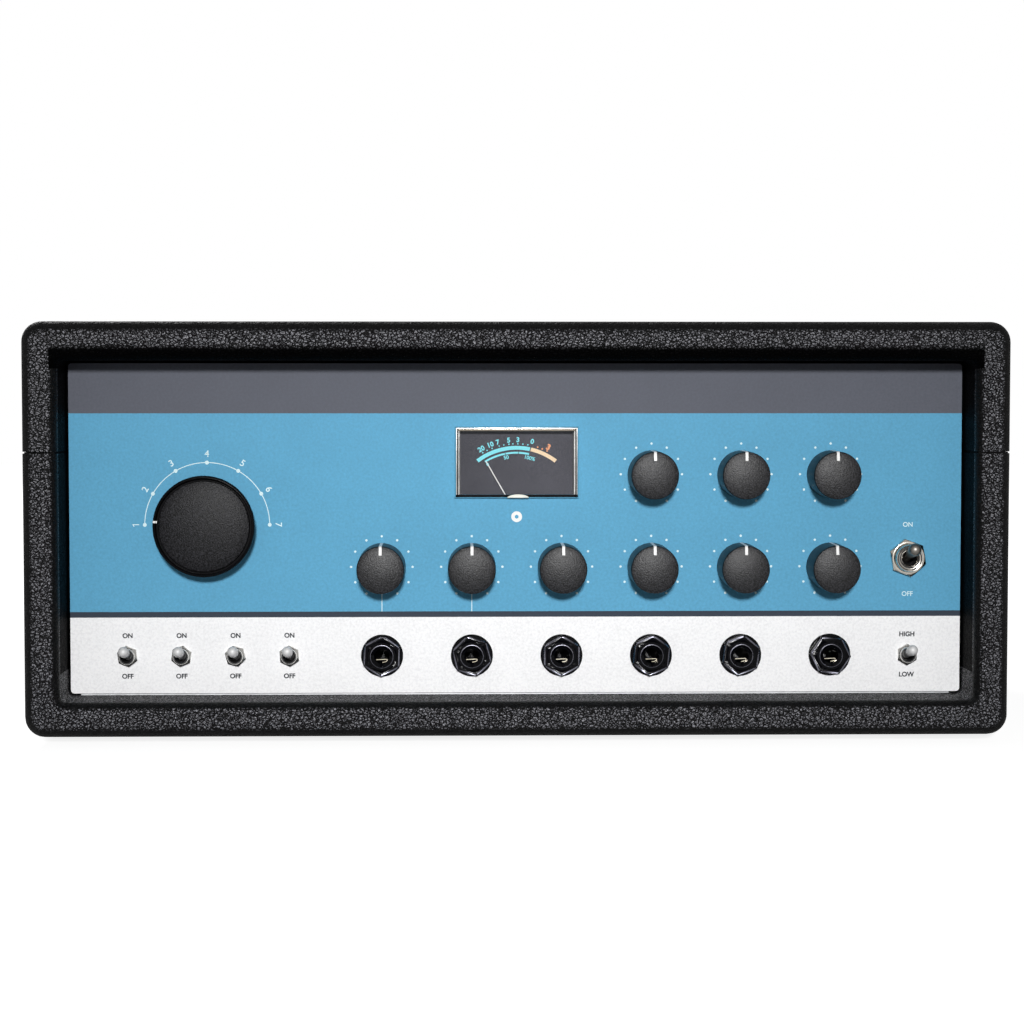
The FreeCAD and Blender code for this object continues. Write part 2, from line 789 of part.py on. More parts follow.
def mode_knob():
    """Broad knob whose face sits inside a rounded lip; the mark on the lip points at the first place."""
    y0 = panel_y - knob_gap
    y1 = panel_y - mode_knob_height
    groove = mode_top_radius - mode_lip
    face = groove - mode_groove_width
    bend = mode_lip * 0.3
    ceiling = y0 - mode_hollow_depth
    deep = y0 - knob_hollow_depth
    socket = y1 + knob_cap_thick
    knob = turned_y(mode_x, mode_z, [
        (shaft_radius, deep), (mode_hub_radius, deep), (mode_hub_radius, ceiling), (mode_hollow_radius, ceiling),
        (mode_hollow_radius, y0), (mode_base_radius, y0), (mode_top_radius, y1 + bend),
        (mode_top_radius - bend, y1), (groove + bend, y1), (groove, y1 + bend),
        (groove, y1 + mode_groove_depth), (face, y1 + mode_groove_depth), (face, y1 + mode_face_drop),
        (0, y1 + mode_face_drop), (0, socket), (shaft_radius, socket),
    ])
    half = mode_mark_width / 2
    mark = block(mode_x - mode_base_radius - 1, mode_x - groove + 0.1, y1 - 1, y1 + mark_depth,
                 mode_z - half, mode_z + half)
    return [knob.cut(mark), control_shaft(mode_x, mode_z, mode_knob_height)]


def bushed(x, z, radius, body, proud):
    """Joins a threaded bush to the body behind the panel and bores it for a shaft."""
    bush = rod_y(x, z, panel_y - proud, wall_back, radius)
    bore = rod_y(x, z, panel_y - proud - 1, wall_back + shaft_past + 0.5, shaft_radius + shaft_clear)
    return body.fuse(bush).cut(bore).removeSplitter()


def potentiometers():
    """Round metal cans with a wafer of three lugs hanging below."""
    pots = []
    for x, z in knob_places.values():
        can = rod_y(x, z, wall_back, wall_back + pot_depth, pot_radius)
        y0 = wall_back + 2.5
        half = pot_lug_width / 2
        wafer = block(x - half, x + half, y0, y0 + pot_lug_thick, z - pot_lug_drop, z)
        body = can.fuse(wafer)
        for i in (-1, 0, 1):
            lug = x + i * half * 0.66
            body = body.cut(block(lug + 1.2, lug + half * 0.66 - 1.2, y0 - 1, y0 + 3,
                                  z - pot_lug_drop - 1, z - pot_radius - 1))
        pots.append(bushed(x, z, bush_radius, body, bush_proud))
    return pots


def rotary_switch():
    """Wafer switch: a round body with a ring of lugs."""
    y1 = wall_back + rotary_depth
    body = rod_y(mode_x, mode_z, wall_back, y1, rotary_radius)
    body = body.cut(
        turned_y(mode_x, mode_z, [(rotary_radius - 2, y1 - 9), (rotary_radius + 1, y1 - 9),
                                  (rotary_radius + 1, y1 - 3), (rotary_radius - 2, y1 - 3)]))
    for i in range(rotary_lugs):
        angle = math.radians(360 / rotary_lugs * i)
        x = mode_x + (rotary_radius - 1.5) * math.cos(angle)
        z = mode_z + (rotary_radius - 1.5) * math.sin(angle)
        body = body.fuse(block(x - 0.8, x + 0.8, y1 - 1, y1 + rotary_lug_length, z - 0.8, z + 0.8))
    return bushed(mode_x, mode_z, bush_radius + 1, body, bush_proud)


# ---- Jacks ----
def jack_socket(x):
    """Moulded body with a threaded nose; the bore opens into a chamber that holds the tip contact."""
    z = socket_row
    y0, y1 = wall_back, wall_back + jack_body_depth
    half, tall = jack_body_width / 2, jack_body_height / 2
    body = prism_y(rectangle(x - half, x + half, z - tall, z + tall, 1.5), y0, y1)
    body = body.fuse(rod_y(x, z, panel_y - jack_proud, y0, jack_bush_radius))
    chamber_y = panel_y + jack_bore_depth
    inside = turned_y(x, z, [
        (0, panel_y - jack_proud), (jack_mouth_radius, panel_y - jack_proud),
        (jack_bore_radius, panel_y - jack_proud + jack_mouth_depth), (jack_bore_radius, chamber_y),
        (jack_chamber_radius, chamber_y), (jack_chamber_radius, y1 - jack_wall), (0, y1 - jack_wall),
    ])
    return body.cut(inside)


def jack_contact(x):
    """Leaf spring held by the chamber's end wall: it rises to a crest under the plug's tip and turns down again."""
    z = socket_row
    y0 = panel_y + jack_bore_depth
    y1 = wall_back + jack_body_depth - jack_wall
    low = z - jack_chamber_radius * 0.8
    crest = z - contact_drop
    t = contact_thick
    path = [(y1, low, 0), (y0 + 9, low, 0), (y0 + 5.5, crest - t, 0), (y0 + 3.5, crest - t - 1.2, 0),
            (y0 + 3.5, crest - 1.2, 0), (y0 + 5.5, crest, 0), (y0 + 9, low + t, 0), (y1, low + t, 0)]
    return prism_x(path, x - contact_width / 2, x + contact_width / 2)


def jack_nut(x, turn):
    z = socket_row
    y1 = panel_y - jack_flange_thick
    flange = rod_y(x, z, y1, panel_y, jack_flange_radius)
    nut = hexagon_y(x, z, y1 - jack_nut_thick, y1, jack_nut_across, turn)
    corner = jack_nut_across / math.sqrt(3)
    chamfer = turned_y(x, z, [(0, y1), (corner + 0.1, y1), (corner + 0.1, y1 - jack_nut_thick + 0.8),
                              (corner - 0.9, y1 - jack_nut_thick), (0, y1 - jack_nut_thick)])
    nut = nut.common(chamfer).fuse(flange)
    return nut.cut(rod_y(x, z, panel_y - jack_proud - 1, panel_y + 1, jack_bush_radius))


# ---- Toggle switches ----
def toggle_lever(x, z, pivot_y, tip, radius, neck, ball, pin, pin_reach, tilt):
    """Lever that swells to a round end, turned on its cross pin so that it points up by tilt degrees."""
    tip_y = panel_y - tip
    lever = turned_y(x, z, [(0, pivot_y), (neck, pivot_y), (radius, tip_y + radius), (0, tip_y + radius)])
    lever = lever.fuse(Part.makeSphere(radius, Vector(x, tip_y + radius, z)))
    lever = lever.fuse(Part.makeSphere(ball, Vector(x, pivot_y, z))).removeSplitter()
    lever = lever.fuse(rod_x(pivot_y, z, x - pin_reach, x + pin_reach, pin))
    return tilted(lever, x, pivot_y, z, tilt)


def small_lever(x, z):
    return toggle_lever(x, z, panel_y + toggle_pivot_depth, toggle_lever_tip, toggle_lever_radius,
                        toggle_neck_radius, toggle_ball_radius, toggle_pin_radius, toggle_pin_reach, toggle_tilt)


def power_lever():
    return toggle_lever(switch_x, power_z, panel_y + power_pivot_depth, power_lever_tip, power_lever_radius,
                        power_neck_radius, power_ball_radius, power_pin_radius, power_pin_reach, power_tilt)


def bush_mouth(proud, pivot_depth, tip, radius, neck, tilt, play):
    """Radius of a bush's mouth that lets the lever lean by tilt degrees."""
    reach = proud + pivot_depth
    lever = neck + (radius - neck) * reach / (tip - radius + pivot_depth)
    lean = math.radians(tilt)
    return reach * math.tan(lean) + lever / math.cos(lean) + play


def switch_body(x, z, radius, proud, mouth, pivot_y, ball, pin, pin_reach, width, tall, depth, lug):
    """Body with three lugs behind and a bush in front that narrows from its mouth to the lever's ball."""
    y1 = wall_back + depth
    body = block(x - width / 2, x + width / 2, wall_back, y1, z - tall / 2, z + tall / 2)
    body = body.fuse(rod_y(x, z, panel_y - proud, wall_back, radius))
    room = ball + shaft_clear
    body = body.cut(turned_y(x, z, [(0, panel_y - proud), (mouth, panel_y - proud), (room, pivot_y),
                                    (room, pivot_y + room), (0, pivot_y + room)]))
    body = body.cut(rod_x(pivot_y, z, x - pin_reach - shaft_clear, x + pin_reach + shaft_clear, pin + shaft_clear))
    for i in (-1, 0, 1):
        lug_z = z + i * tall * 0.34
        body = body.fuse(block(x - lug_half, x + lug_half, y1, y1 + lug,
                               lug_z - lug_thick / 2, lug_z + lug_thick / 2))
    return body


def switch_bodies():
    bodies = []
    mouth = bush_mouth(toggle_proud, toggle_pivot_depth, toggle_lever_tip, toggle_lever_radius,
                       toggle_neck_radius, toggle_tilt, toggle_play)
    for x, z in toggle_places.values():
        bodies.append(switch_body(
            x, z, toggle_bush_radius, toggle_proud, mouth,
            panel_y + toggle_pivot_depth, toggle_ball_radius, toggle_pin_radius, toggle_pin_reach,
            toggle_body_width, toggle_body_height, toggle_body_depth, toggle_lug_length))
    mouth = bush_mouth(power_proud, power_pivot_depth, power_lever_tip, power_lever_radius,
                       power_neck_radius, power_tilt, power_play)
    power = switch_body(
        switch_x, power_z, power_bush_radius, power_proud, mouth,
        panel_y + power_pivot_depth, power_ball_radius, power_pin_radius, power_pin_reach,
        power_body_width, power_body_height, power_body_depth, power_lug_length)
    key = block(switch_x - power_key_width / 2, switch_x + power_key_width / 2, panel_y - power_proud - 1, panel_y,
                power_z - power_bush_radius - 1, power_z - power_bush_radius + power_key_depth)
    bodies.append(power.cut(key))
    return bodies


def chamfered_nut(x, z, thick, across, bore, turn):
    """Hexagonal nut on the panel's face, its outer corners turned off."""
    y0 = panel_y - thick
    corner = across / math.sqrt(3)
    turned = turned_y(x, z, [(0, panel_y), (corner + 0.1, panel_y), (corner + 0.1, y0 + thick * 0.4),
                             (across / 2 - 0.1, y0), (0, y0)])
    nut = hexagon_y(x, z, y0, panel_y, across, turn).common(turned)
    return nut.cut(rod_y(x, z, y0 - 1, panel_y + 1, bore))


def switch_nuts():
    nuts = []
    for i, (x, z) in enumerate(toggle_places.values()):
        turn = (8.0, -8.0, 15.0, 4.0, 0.0)[i]
        nuts.append(chamfered_nut(x, z, toggle_nut_thick, toggle_nut_across, toggle_bush_radius, turn))
    nuts.append(chamfered_nut(switch_x, power_z, power_nut_thick, power_nut_across, power_bush_radius, 10.0))
    return nuts


# ---- Level meter ----
def meter_bezel():
    """Thin raised frame, chamfered outside, with a groove inside that holds the lens."""
    y0 = panel_y - meter_proud
    left, right = meter_x - meter_width / 2, meter_x + meter_width / 2
    frame = prism_y(rectangle(left, right, meter_low, meter_high, meter_corner), y0, panel_y)
    frame = frame.makeChamfer(meter_chamfer, edges_on_y(frame, y0, lambda p: True))
    frame = frame.cut(block(left + meter_frame, right - meter_frame, y0 - 1, panel_y + 1,
                            meter_low + meter_foot, meter_high - meter_frame))
    return frame.cut(meter_lens())


def meter_lens():
    """Clear plate held in the bezel's groove."""
    y0 = panel_y - meter_proud + lens_drop
    half = meter_width / 2 - meter_frame + lens_seat
    return block(meter_x - half, meter_x + half, y0, y0 + lens_thick,
                 meter_low + meter_foot - lens_seat / 2, meter_high - meter_frame + lens_seat)


def meter_case():
    """Box behind the panel, joined to the bezel by three walls through the panel's opening."""
    left, right = meter_x - meter_half, meter_x + meter_half
    y1 = wall_back + meter_case_depth
    box = block(left, right, panel_back, y1, meter_case_low, meter_case_top)
    neck = block(left, right, panel_y, panel_back, meter_low + meter_foot, meter_case_top)
    inside = block(left + meter_wall, right - meter_wall, panel_back - 0.1, y1 - meter_wall,
                   meter_case_low + meter_wall, meter_case_top - meter_wall)
    mouth = block(left + meter_wall, right - meter_wall, panel_y - 1, panel_back,
                  meter_low, meter_case_top - meter_wall)
    return box.fuse(neck).cut(inside).cut(mouth)


def meter_dial():
    """Scale plate held by the case's walls, and the movement whose pin carries the needle."""
    left, right = meter_x - meter_half + meter_wall, meter_x + meter_half - meter_wall
    y0 = panel_back + dial_gap
    plate = block(left, right, y0, y0 + dial_thick, needle_z + needle_hub_radius + 1, meter_case_top - meter_wall)
    magnet_y = hub_back() + 0.5
    magnet = rod_y(meter_x, needle_z, magnet_y, wall_back + meter_case_depth - meter_wall, movement_radius)
    pin = rod_y(meter_x, needle_z, panel_back + needle_gap, magnet_y, pivot_radius)
    return [plate, magnet.fuse(pin)]


def hub_back():
    return panel_back + needle_gap + needle_hub_thick


def meter_needle():
    """Flat pointer with a short tail, bored for the movement's pin."""
    y0 = panel_back + needle_gap
    blade = block(meter_x - needle_width / 2, meter_x + needle_width / 2, y0, y0 + needle_thick,
                  needle_z - needle_tail, needle_z + needle_length)
    needle = blade.fuse(rod_y(meter_x, needle_z, y0, hub_back(), needle_hub_radius)).removeSplitter()
    needle = needle.cut(rod_y(meter_x, needle_z, y0 - 1, hub_back() + 1, pivot_radius + shaft_clear))
    needle.rotate(Vector(meter_x, 0, needle_z), Vector(0, 1, 0), -needle_rest)
    return needle


# ---- Deck ----
def pillar_places():
    x = deck_half - pillar_in
    y0, y1 = deck_y0 + pillar_in, deck_y1 - pillar_in
    return [(-x, y0), (x, y0), (x, y1), (-x, y1), (0, y1)]


def tank_screw_places():
    y = (tank_y0 + tank_y1) / 2
    return [(tank_x0 + boss_in, y), (tank_x1 - boss_in, y)]


def deck_plate():
    plate = prism_z(rectangle(-deck_half, deck_half, deck_y0, deck_y1, deck_corner), deck_under, deck_top)
    for x, y in pillar_places():
        plate = plate.cut(rod_z(x, y, deck_under - 1, deck_top + 1, screw_radius))
    plate = plate.cut(rod_z(capstan_x, capstan_y, deck_under - 1, deck_top + 1, bearing_radius + shaft_clear))
    plate = plate.cut(rod_z(arm_pivot_x, arm_pivot_y, deck_under - 1, deck_top + 1, pinch_post_radius))
    return plate


def deck_pillars():
    return [hexagon_z(x, y, tray_top, deck_under, pillar_across) for x, y in pillar_places()]


def control_cover():
    """Folded sheet over the backs of the controls: a foot on the deck, a wall and a roof up to the chassis wall."""
    top = panel_high - chassis_top_drop
    profile = [(deck_y0 + cover_foot, deck_top, 0), (deck_y0 + cover_foot, deck_top + sheet, 0),
               (deck_y0 + sheet, deck_top + sheet, 0), (deck_y0 + sheet, top, sheet),
               (wall_back, top, 0), (wall_back, top - sheet, 0),
               (deck_y0, top - sheet, 0), (deck_y0, deck_top, 0)]
    return prism_x(profile, -deck_half, deck_half)


def rear_screw_places():
    x = rear_half - rear_lap / 2
    low, high = rear_low + rear_lap / 2, rear_high - rear_lap / 2
    return [(sx, z) for sx in (-x, 0, x) for z in (low, high)]


def tape_tank():
    """Shallow tray whose floor the folded loop stands on, with a slot at each end for the tape."""
    tray = block(tank_x0, tank_x1, tank_y0, tank_y1, deck_top, tank_rim)
    x0, x1 = tank_x0 + tank_wall, tank_x1 - tank_wall
    y0, y1 = tank_y0 + tank_wall, tank_y1 - tank_wall
    tray = tray.cut(block(x0, x1, y0, y1, tape_low, tank_rim + 1))
    tray = tray.cut(block(x0, x1, y0, y1, deck_top - 1, tape_low - tank_floor))
    for x, y in tank_screw_places():
        tray = tray.fuse(rod_z(x, y, deck_top, tank_rim, boss_radius))
        tray = tray.cut(rod_z(x, y, tape_low, tank_rim + 1, screw_radius))
    x, y = tape_exit_x, tape_entry_y
    tray = tray.cut(block(x - slot_width / 2, x + slot_width / 2, tank_y0 - 1, y0 + 1, tape_low, tank_rim + 1))
    return tray.cut(block(x1 - 1, tank_x1 + 1, y - slot_width / 2, y + slot_width / 2, tape_low, tank_rim + 1))


def tank_cover():
    """Clear plate on the tank's rim, with a hole for each thumb screw."""
    plate = prism_z(rectangle(tank_x0, tank_x1, tank_y0, tank_y1, cover_lip), tank_rim, tank_rim + cover_thick)
    for x, y in tank_screw_places():
        plate = plate.cut(rod_z(x, y, tank_rim - 1, tank_rim + cover_thick + 1, screw_radius + 0.3))
    return plate


def thumb_screws():
    base = tank_rim + cover_thick
    screws = []
    for x, y in tank_screw_places():
        head = turned_z(x, y, [(0, base), (thumb_radius * 0.7, base), (thumb_radius, base + 1.5),
                               (thumb_radius, base + thumb_height - 1), (thumb_radius - 1, base + thumb_height),
                               (0, base + thumb_height)])
        screws.append(head.fuse(rod_z(x, y, tape_low, base, screw_radius)).removeSplitter())
    return screws


# ---- Tape ----
def tape_corners():
    """Centreline of the loop as (x, y, radius): past the heads, round the guides, then folded in the tank."""
    bend = guide_offset
    left = tape_exit_x
    right = guide_right_x + bend
    entry = tape_entry_y
    low = tank_y0 + fold_margin
    high = entry - fold_margin * 2
    points = [(left, tape_y, bend), (right, tape_y, bend), (right, entry, bend)]
    x = left + fold_pitch * 2 * fold_count
    points.append((x, entry, fold_radius))
    for i in range(fold_count):
        points += [(x, low, fold_radius), (x - fold_pitch, low, fold_radius)]
        x -= fold_pitch
        points += [(x, high, fold_radius), (x - fold_pitch, high, fold_radius)]
        x -= fold_pitch
    return points


def guide_places():
    return [
        (tape_exit_x + guide_offset, tape_y + guide_offset),
        (guide_right_x, tape_y + guide_offset),
        (guide_right_x, tape_entry_y - guide_offset),
    ]


def offset_corners(corners, distance):
    """The same closed outline moved sideways: its corners where the moved sides meet, its radii to match."""
    moved = []
    for i, (u, v, radius) in enumerate(corners):
        last, following = corners[i - 1], corners[(i + 1) % len(corners)]
        into = Vector(u - last[0], v - last[1], 0).normalize()
        out = Vector(following[0] - u, following[1] - v, 0).normalize()
        turn = into.x * out.y - into.y * out.x
        if abs(turn) < 1e-6:
            moved.append((u - into.y * distance, v + into.x * distance, radius))
            continue
        side_in = Vector(-into.y, into.x, 0)
        side_out = Vector(-out.y, out.x, 0)
        corner = (side_in + side_out) * (distance / (1 + side_in.dot(side_out)))
        moved.append((u + corner.x, v + corner.y, radius - math.copysign(distance, turn)))
    return moved


def tape_loop():
    """Endless tape standing on edge."""
    corners = tape_corners()
    sides = [prism_z(offset_corners(corners, d), tape_low, tape_high) for d in (-tape_thick / 2, tape_thick / 2)]
    sides.sort(key=lambda s: s.Volume)
    return sides[1].cut(sides[0])


def guide_posts():
    """Flanged tape guides, and the headed post that the pinch arm turns on."""
    guides = []
    for x, y in guide_places():
        top = tape_high + 0.3
        low = tape_low - 0.3
        wide = guide_radius + guide_flange
        guides.append(turned_z(x, y, [
            (0, deck_top), (guide_radius, deck_top), (guide_radius, low - 1.2), (wide, low - 1.2), (wide, low),
            (guide_radius, low), (guide_radius, top), (wide, top), (wide, top + 1.2), (0, top + 1.2),
        ]))
    return guides + [pinch_post()]


# ---- Heads ----
def head_x(i):
    return tape_exit_x + head_first + head_pitch * i


def head_base():
    left, right = head_x(0) - head_base_margin, head_x(head_count - 1) + head_base_margin
    y0 = head_face_y + head_base_in
    return prism_z(rectangle(left, right, y0, y0 + head_base_depth, 2.0), deck_top, deck_top + head_base_thick)


def tape_head(i):
    """Metal can with a curved nose that meets the tape."""
    x = head_x(i)
    y0 = head_face_y
    z0 = deck_top + head_base_thick
    nose = rod_z(x, y0 + head_nose_radius, z0, z0 + head_height, head_nose_radius)
    can = block(x - head_width / 2, x + head_width / 2, y0, y0 + head_depth, z0, z0 + head_height)
    back = block(x - head_width / 2, x + head_width / 2, y0 + head_depth * 0.45, y0 + head_depth,
                 z0, z0 + head_height)
    return can.common(nose.fuse(back)).removeSplitter()


# ---- Capstan drive ----
def capstan_bearing():
    """Flanged housing through the deck with a short nose above it, bored for the capstan shaft."""
    bore = capstan_radius + shaft_clear
    low = flywheel_high + bearing_gap
    flange = bearing_radius + bearing_flange
    return turned_z(capstan_x, capstan_y, [
        (bore, low), (bearing_radius, low), (bearing_radius, deck_under - bearing_flange_thick),
        (flange, deck_under - bearing_flange_thick), (flange, deck_under), (bearing_radius, deck_under),
        (bearing_radius, deck_top), (bearing_nose_radius, deck_top),
        (bearing_nose_radius, deck_top + bearing_up), (bore, deck_top + bearing_up),
    ])


def capstan_flywheel():
    """Heavy-rimmed flywheel, and its ground shaft with the collar that rests on the bearing."""
    low, high = flywheel_low, flywheel_high
    web0 = low + (flywheel_thick - flywheel_web) / 2
    web1 = web0 + flywheel_web
    rim = flywheel_radius - flywheel_rim
    hub = bearing_radius
    wheel = turned_z(capstan_x, capstan_y, [
        (capstan_radius, low), (hub, low), (hub, web0), (rim, web0), (rim, low), (flywheel_radius, low),
        (flywheel_radius, high), (rim, high), (rim, web1), (hub, web1), (hub, high), (capstan_radius, high),
    ])
    shaft = rod_z(capstan_x, capstan_y, low - 3, deck_top + capstan_top, capstan_radius)
    collar_low = deck_top + bearing_up + shaft_clear
    collar = rod_z(capstan_x, capstan_y, collar_low, collar_low + collar_thick, bearing_nose_radius)
    return [wheel, shaft.fuse(collar).removeSplitter()]


def drive_motor():
    """Motor can hung under the deck by its flange, shaft downwards."""
    low = motor_low
    can = turned_z(motor_x, motor_y, [
        (0, low), (motor_radius - 3, low), (motor_radius, low + 3), (motor_radius, deck_under - 3),
        (motor_radius + 6, deck_under - 3), (motor_radius + 6, deck_under), (0, deck_under),
    ])
    nose = rod_z(motor_x, motor_y, low - motor_nose, low, motor_nose_radius)
    bore = rod_z(motor_x, motor_y, low - motor_nose - 1, low + motor_bore, motor_shaft_radius + shaft_clear)
    return can.fuse(nose).cut(bore).removeSplitter()


def motor_pulley():
    """Flanged pulley level with the flywheel, on the motor's shaft."""
    half = belt_width / 2 + pulley_side
    wide = pulley_radius + belt_thick + pulley_rim
    bottom = belt_z - half - pulley_flange
    wheel = turned_z(motor_x, motor_y, [
        (motor_shaft_radius, bottom), (wide, bottom), (wide, belt_z - half), (pulley_radius, belt_z - half),
        (pulley_radius, belt_z + half), (wide, belt_z + half), (wide, pulley_top), (motor_shaft_radius, pulley_top),
    ])
    return [wheel, rod_z(motor_x, motor_y, bottom - 1.5, motor_low + motor_bore - 1, motor_shaft_radius)]


def belt_area(extra, z0, z1):
    """Room inside a belt that runs extra outside both wheels."""
    near, far = pulley_radius + extra, flywheel_radius + extra
    dx, dy = capstan_x - motor_x, capstan_y - motor_y
    span = math.hypot(dx, dy)
    heading = math.atan2(dy, dx)
    lean = math.acos((near - far) / span)
    corners = []
    for side in (1, -1):
        angle = heading + side * lean
        ends = [(motor_x + near * math.cos(angle), motor_y + near * math.sin(angle), 0),
                (capstan_x + far * math.cos(angle), capstan_y + far * math.sin(angle), 0)]
        corners += ends if side > 0 else ends[::-1]
    area = prism_z(corners, z0, z1)
    area = area.fuse(rod_z(motor_x, motor_y, z0, z1, near))
    return area.fuse(rod_z(capstan_x, capstan_y, z0, z1, far)).removeSplitter()


def drive_belt():
    z0, z1 = belt_z - belt_width / 2, belt_z + belt_width / 2
    return belt_area(belt_clear + belt_thick, z0, z1).cut(belt_area(belt_clear, z0 - 1, z1 + 1))


# ---- Pinch roller ----
def pinch_arm():
    """Flat arm on a post, with the axle that carries the roller."""
    z0 = deck_top + pinch_arm_lift
    z1 = z0 + pinch_arm_thick
    half = pinch_arm_width / 2
    dx, dy = math.cos(arm_turn), math.sin(arm_turn)
    bar = prism_z([
        (arm_pivot_x + dy * half, arm_pivot_y - dx * half, 0), (capstan_x + dy * half, pinch_y - dx * half, 0),
        (capstan_x - dy * half, pinch_y + dx * half, 0), (arm_pivot_x - dy * half, arm_pivot_y + dx * half, 0),
    ], z0, z1)
    for x, y in ((arm_pivot_x, arm_pivot_y), (capstan_x, pinch_y)):
        bar = bar.fuse(rod_z(x, y, z0, z1, half))
    axle = rod_z(capstan_x, pinch_y, z1, tape_high + 5, pinch_axle_radius)
    arm = bar.fuse(axle)
    arm = arm.cut(rod_z(arm_pivot_x, arm_pivot_y, z0 - 1, z1 + 1, pinch_post_radius + shaft_clear))
    return arm.removeSplitter()


def pinch_post():
    top = deck_top + pinch_arm_lift + pinch_arm_thick + 0.3
    post = rod_z(arm_pivot_x, arm_pivot_y, deck_under, top, pinch_post_radius)
    return post.fuse(rod_z(arm_pivot_x, arm_pivot_y, top, top + 1.2, pinch_post_radius + 1.5))


def pinch_roller():
    low = (tape_low + tape_high - pinch_height) / 2
    bore = pinch_axle_radius + shaft_clear
    return turned_z(capstan_x, pinch_y, [(bore, low), (pinch_radius, low), (pinch_radius, low + pinch_height),
                                         (bore, low + pinch_height)])


# ---- Electronics ----
def transformer():
    """Ring core between two rubber washers under a dished clamping plate and bolt."""
    x, y = transformer_x, transformer_y
    low = tray_top
    ring = turned_z(x, y, [(transformer_eye, low + 1), (transformer_radius - 5, low + 1),
                           (transformer_radius, low + 6),
                           (transformer_radius, low + transformer_height - 6),
                           (transformer_radius - 5, low + transformer_height - 1),
                           (transformer_eye, low + transformer_height - 1)])
    washer = turned_z(x, y, [(3, low), (plate_radius, low), (plate_radius, low + 1), (3, low + 1)])
    top = low + transformer_height
    plate = turned_z(x, y, [(3, top - 1), (plate_radius, top - 1), (plate_radius, top + 0.6), (3, top + 0.6)])
    bolt = rod_z(x, y, low, top + 0.6, 3.0).fuse(hexagon_z(x, y, top + 0.6, top + 4.6, 10.0))
    return [ring, washer, plate, bolt]


def circuit_board():
    """Main board on four posts."""
    z0 = tray_top + pcb_lift
    board_plate = block(pcb_x0, pcb_x1, pcb_y0, pcb_y1, z0, z0 + pcb_thick)
    posts = []
    for x in (pcb_x0 + pcb_post_in, pcb_x1 - pcb_post_in):
        for y in (pcb_y0 + pcb_post_in, pcb_y1 - pcb_post_in):
            posts.append(rod_z(x, y, tray_top, z0, pcb_post_radius))
    return [board_plate] + posts


def circuit_parts():
    """The larger components on the main board."""
    z = tray_top + pcb_lift + pcb_thick
    parts = []
    for i in range(3):
        x = pcb_x1 - capacitor_in - i * capacitor_pitch
        parts.append(rod_z(x, pcb_y1 - capacitor_back, z, z + capacitor_height, capacitor_radius))
    for row in range(3):
        for column in range(4):
            x = pcb_x0 + chip_left + column * (chip_width + chip_gap)
            y = pcb_y0 + chip_front + row * (chip_depth + chip_row_gap)
            parts.append(block(x, x + chip_width, y, y + chip_depth, z, z + chip_height))
    return parts


# ---- Rear panel ----
def rear_panel():
    plate = prism_y(rectangle(-rear_half, rear_half, rear_low, rear_high, 1.5), rear_y - rear_thick, rear_y)
    cuts = []
    for i in range(vent_count):
        x = vent_x + (i - (vent_count - 1) / 2) * vent_pitch
        for z in (rear_z - vent_height * 0.62, rear_z + vent_height * 0.62):
            slot = rectangle(x - vent_width / 2, x + vent_width / 2, z - vent_height / 2, z + vent_height / 2)
            cuts.append(prism_y(slot, rear_y - rear_thick - 1, rear_y + 1))
    half, tall = inlet_width / 2 - inlet_flange, inlet_height / 2 - inlet_flange
    cuts.append(block(inlet_x - half, inlet_x + half, rear_y - rear_thick - 1, rear_y + 1,
                      rear_z - tall, rear_z + tall))
    for x, z in rear_screw_places():
        cuts.append(rod_y(x, z, rear_y - rear_thick - 1, rear_y + 1, screw_radius))
    return plate.cut(cuts)


def mains_inlet():
    """Three-pin inlet with a fuse drawer beside the socket."""
    z = rear_z
    half, tall = inlet_width / 2 - inlet_flange, inlet_height / 2 - inlet_flange
    flange = prism_y(rectangle(inlet_x - inlet_width / 2, inlet_x + inlet_width / 2,
                               z - inlet_height / 2, z + inlet_height / 2, 3.0), rear_y, rear_y + inlet_flange)
    body = block(inlet_x - half, inlet_x + half, rear_y - inlet_depth, rear_y, z - tall, z + tall)
    centre = inlet_x - socket_shift
    face = rear_y + inlet_flange
    low, high = z - socket_tall / 2, z + socket_tall / 2
    left, right = centre - socket_width / 2, centre + socket_width / 2
    cut = 4.5
    mouth = [(left, low, 0), (right, low, 0), (right, high - cut, 0), (right - cut, high, 0),
             (left + cut, high, 0), (left, high - cut, 0)]
    body = body.fuse(flange).cut(prism_y(mouth, face - socket_depth, face + 1))
    drawer_x = inlet_x + half - fuse_drawer_width / 2 - 1
    body = body.fuse(prism_y(rectangle(drawer_x - fuse_drawer_width / 2, drawer_x + fuse_drawer_width / 2,
                                       z - tall + 2, z + tall - 2, 1.0), face, face + fuse_drawer_proud))
    blades = []
    for dx, dz in ((-7.0, -1.5), (7.0, -1.5), (0.0, 2.5)):
        blades.append(block(centre + dx - blade_thick / 2, centre + dx + blade_thick / 2,
                            face - socket_depth, face - socket_depth + blade_length,
                            z + dz - blade_long / 2, z + dz + blade_long / 2))
    return [body] + blades


# ---- Build ----
keep("lower_case", lower_case())
keep("lid", lid())
keep("rubber_feet", *rubber_feet())
keep("case_hinge_leaves", *case_hinge_leaves())
keep("lid_hinge_leaves", *lid_hinge_leaves())
keep("front_panel", front_panel())
keep("chassis", chassis())
for name, (x, z) in knob_places.items():
    keep(name, *small_knob(x, z))
keep("mode_knob", *mode_knob())
keep("potentiometers", *potentiometers())
keep("rotary_switch", rotary_switch())
keep("jack_sockets", *[jack_socket(x) for x in knob_columns])
keep("jack_contacts", *[jack_contact(x) for x in knob_columns])
keep("jack_nuts", *[jack_nut(x, turn) for x, turn in zip(knob_columns, jack_nut_turns)])
for name, (x, z) in toggle_places.items():
    keep(name, small_lever(x, z))
keep("power_lever", power_lever())
keep("switch_bodies", *switch_bodies())
keep("switch_nuts", *switch_nuts())
keep("meter_bezel", meter_bezel())
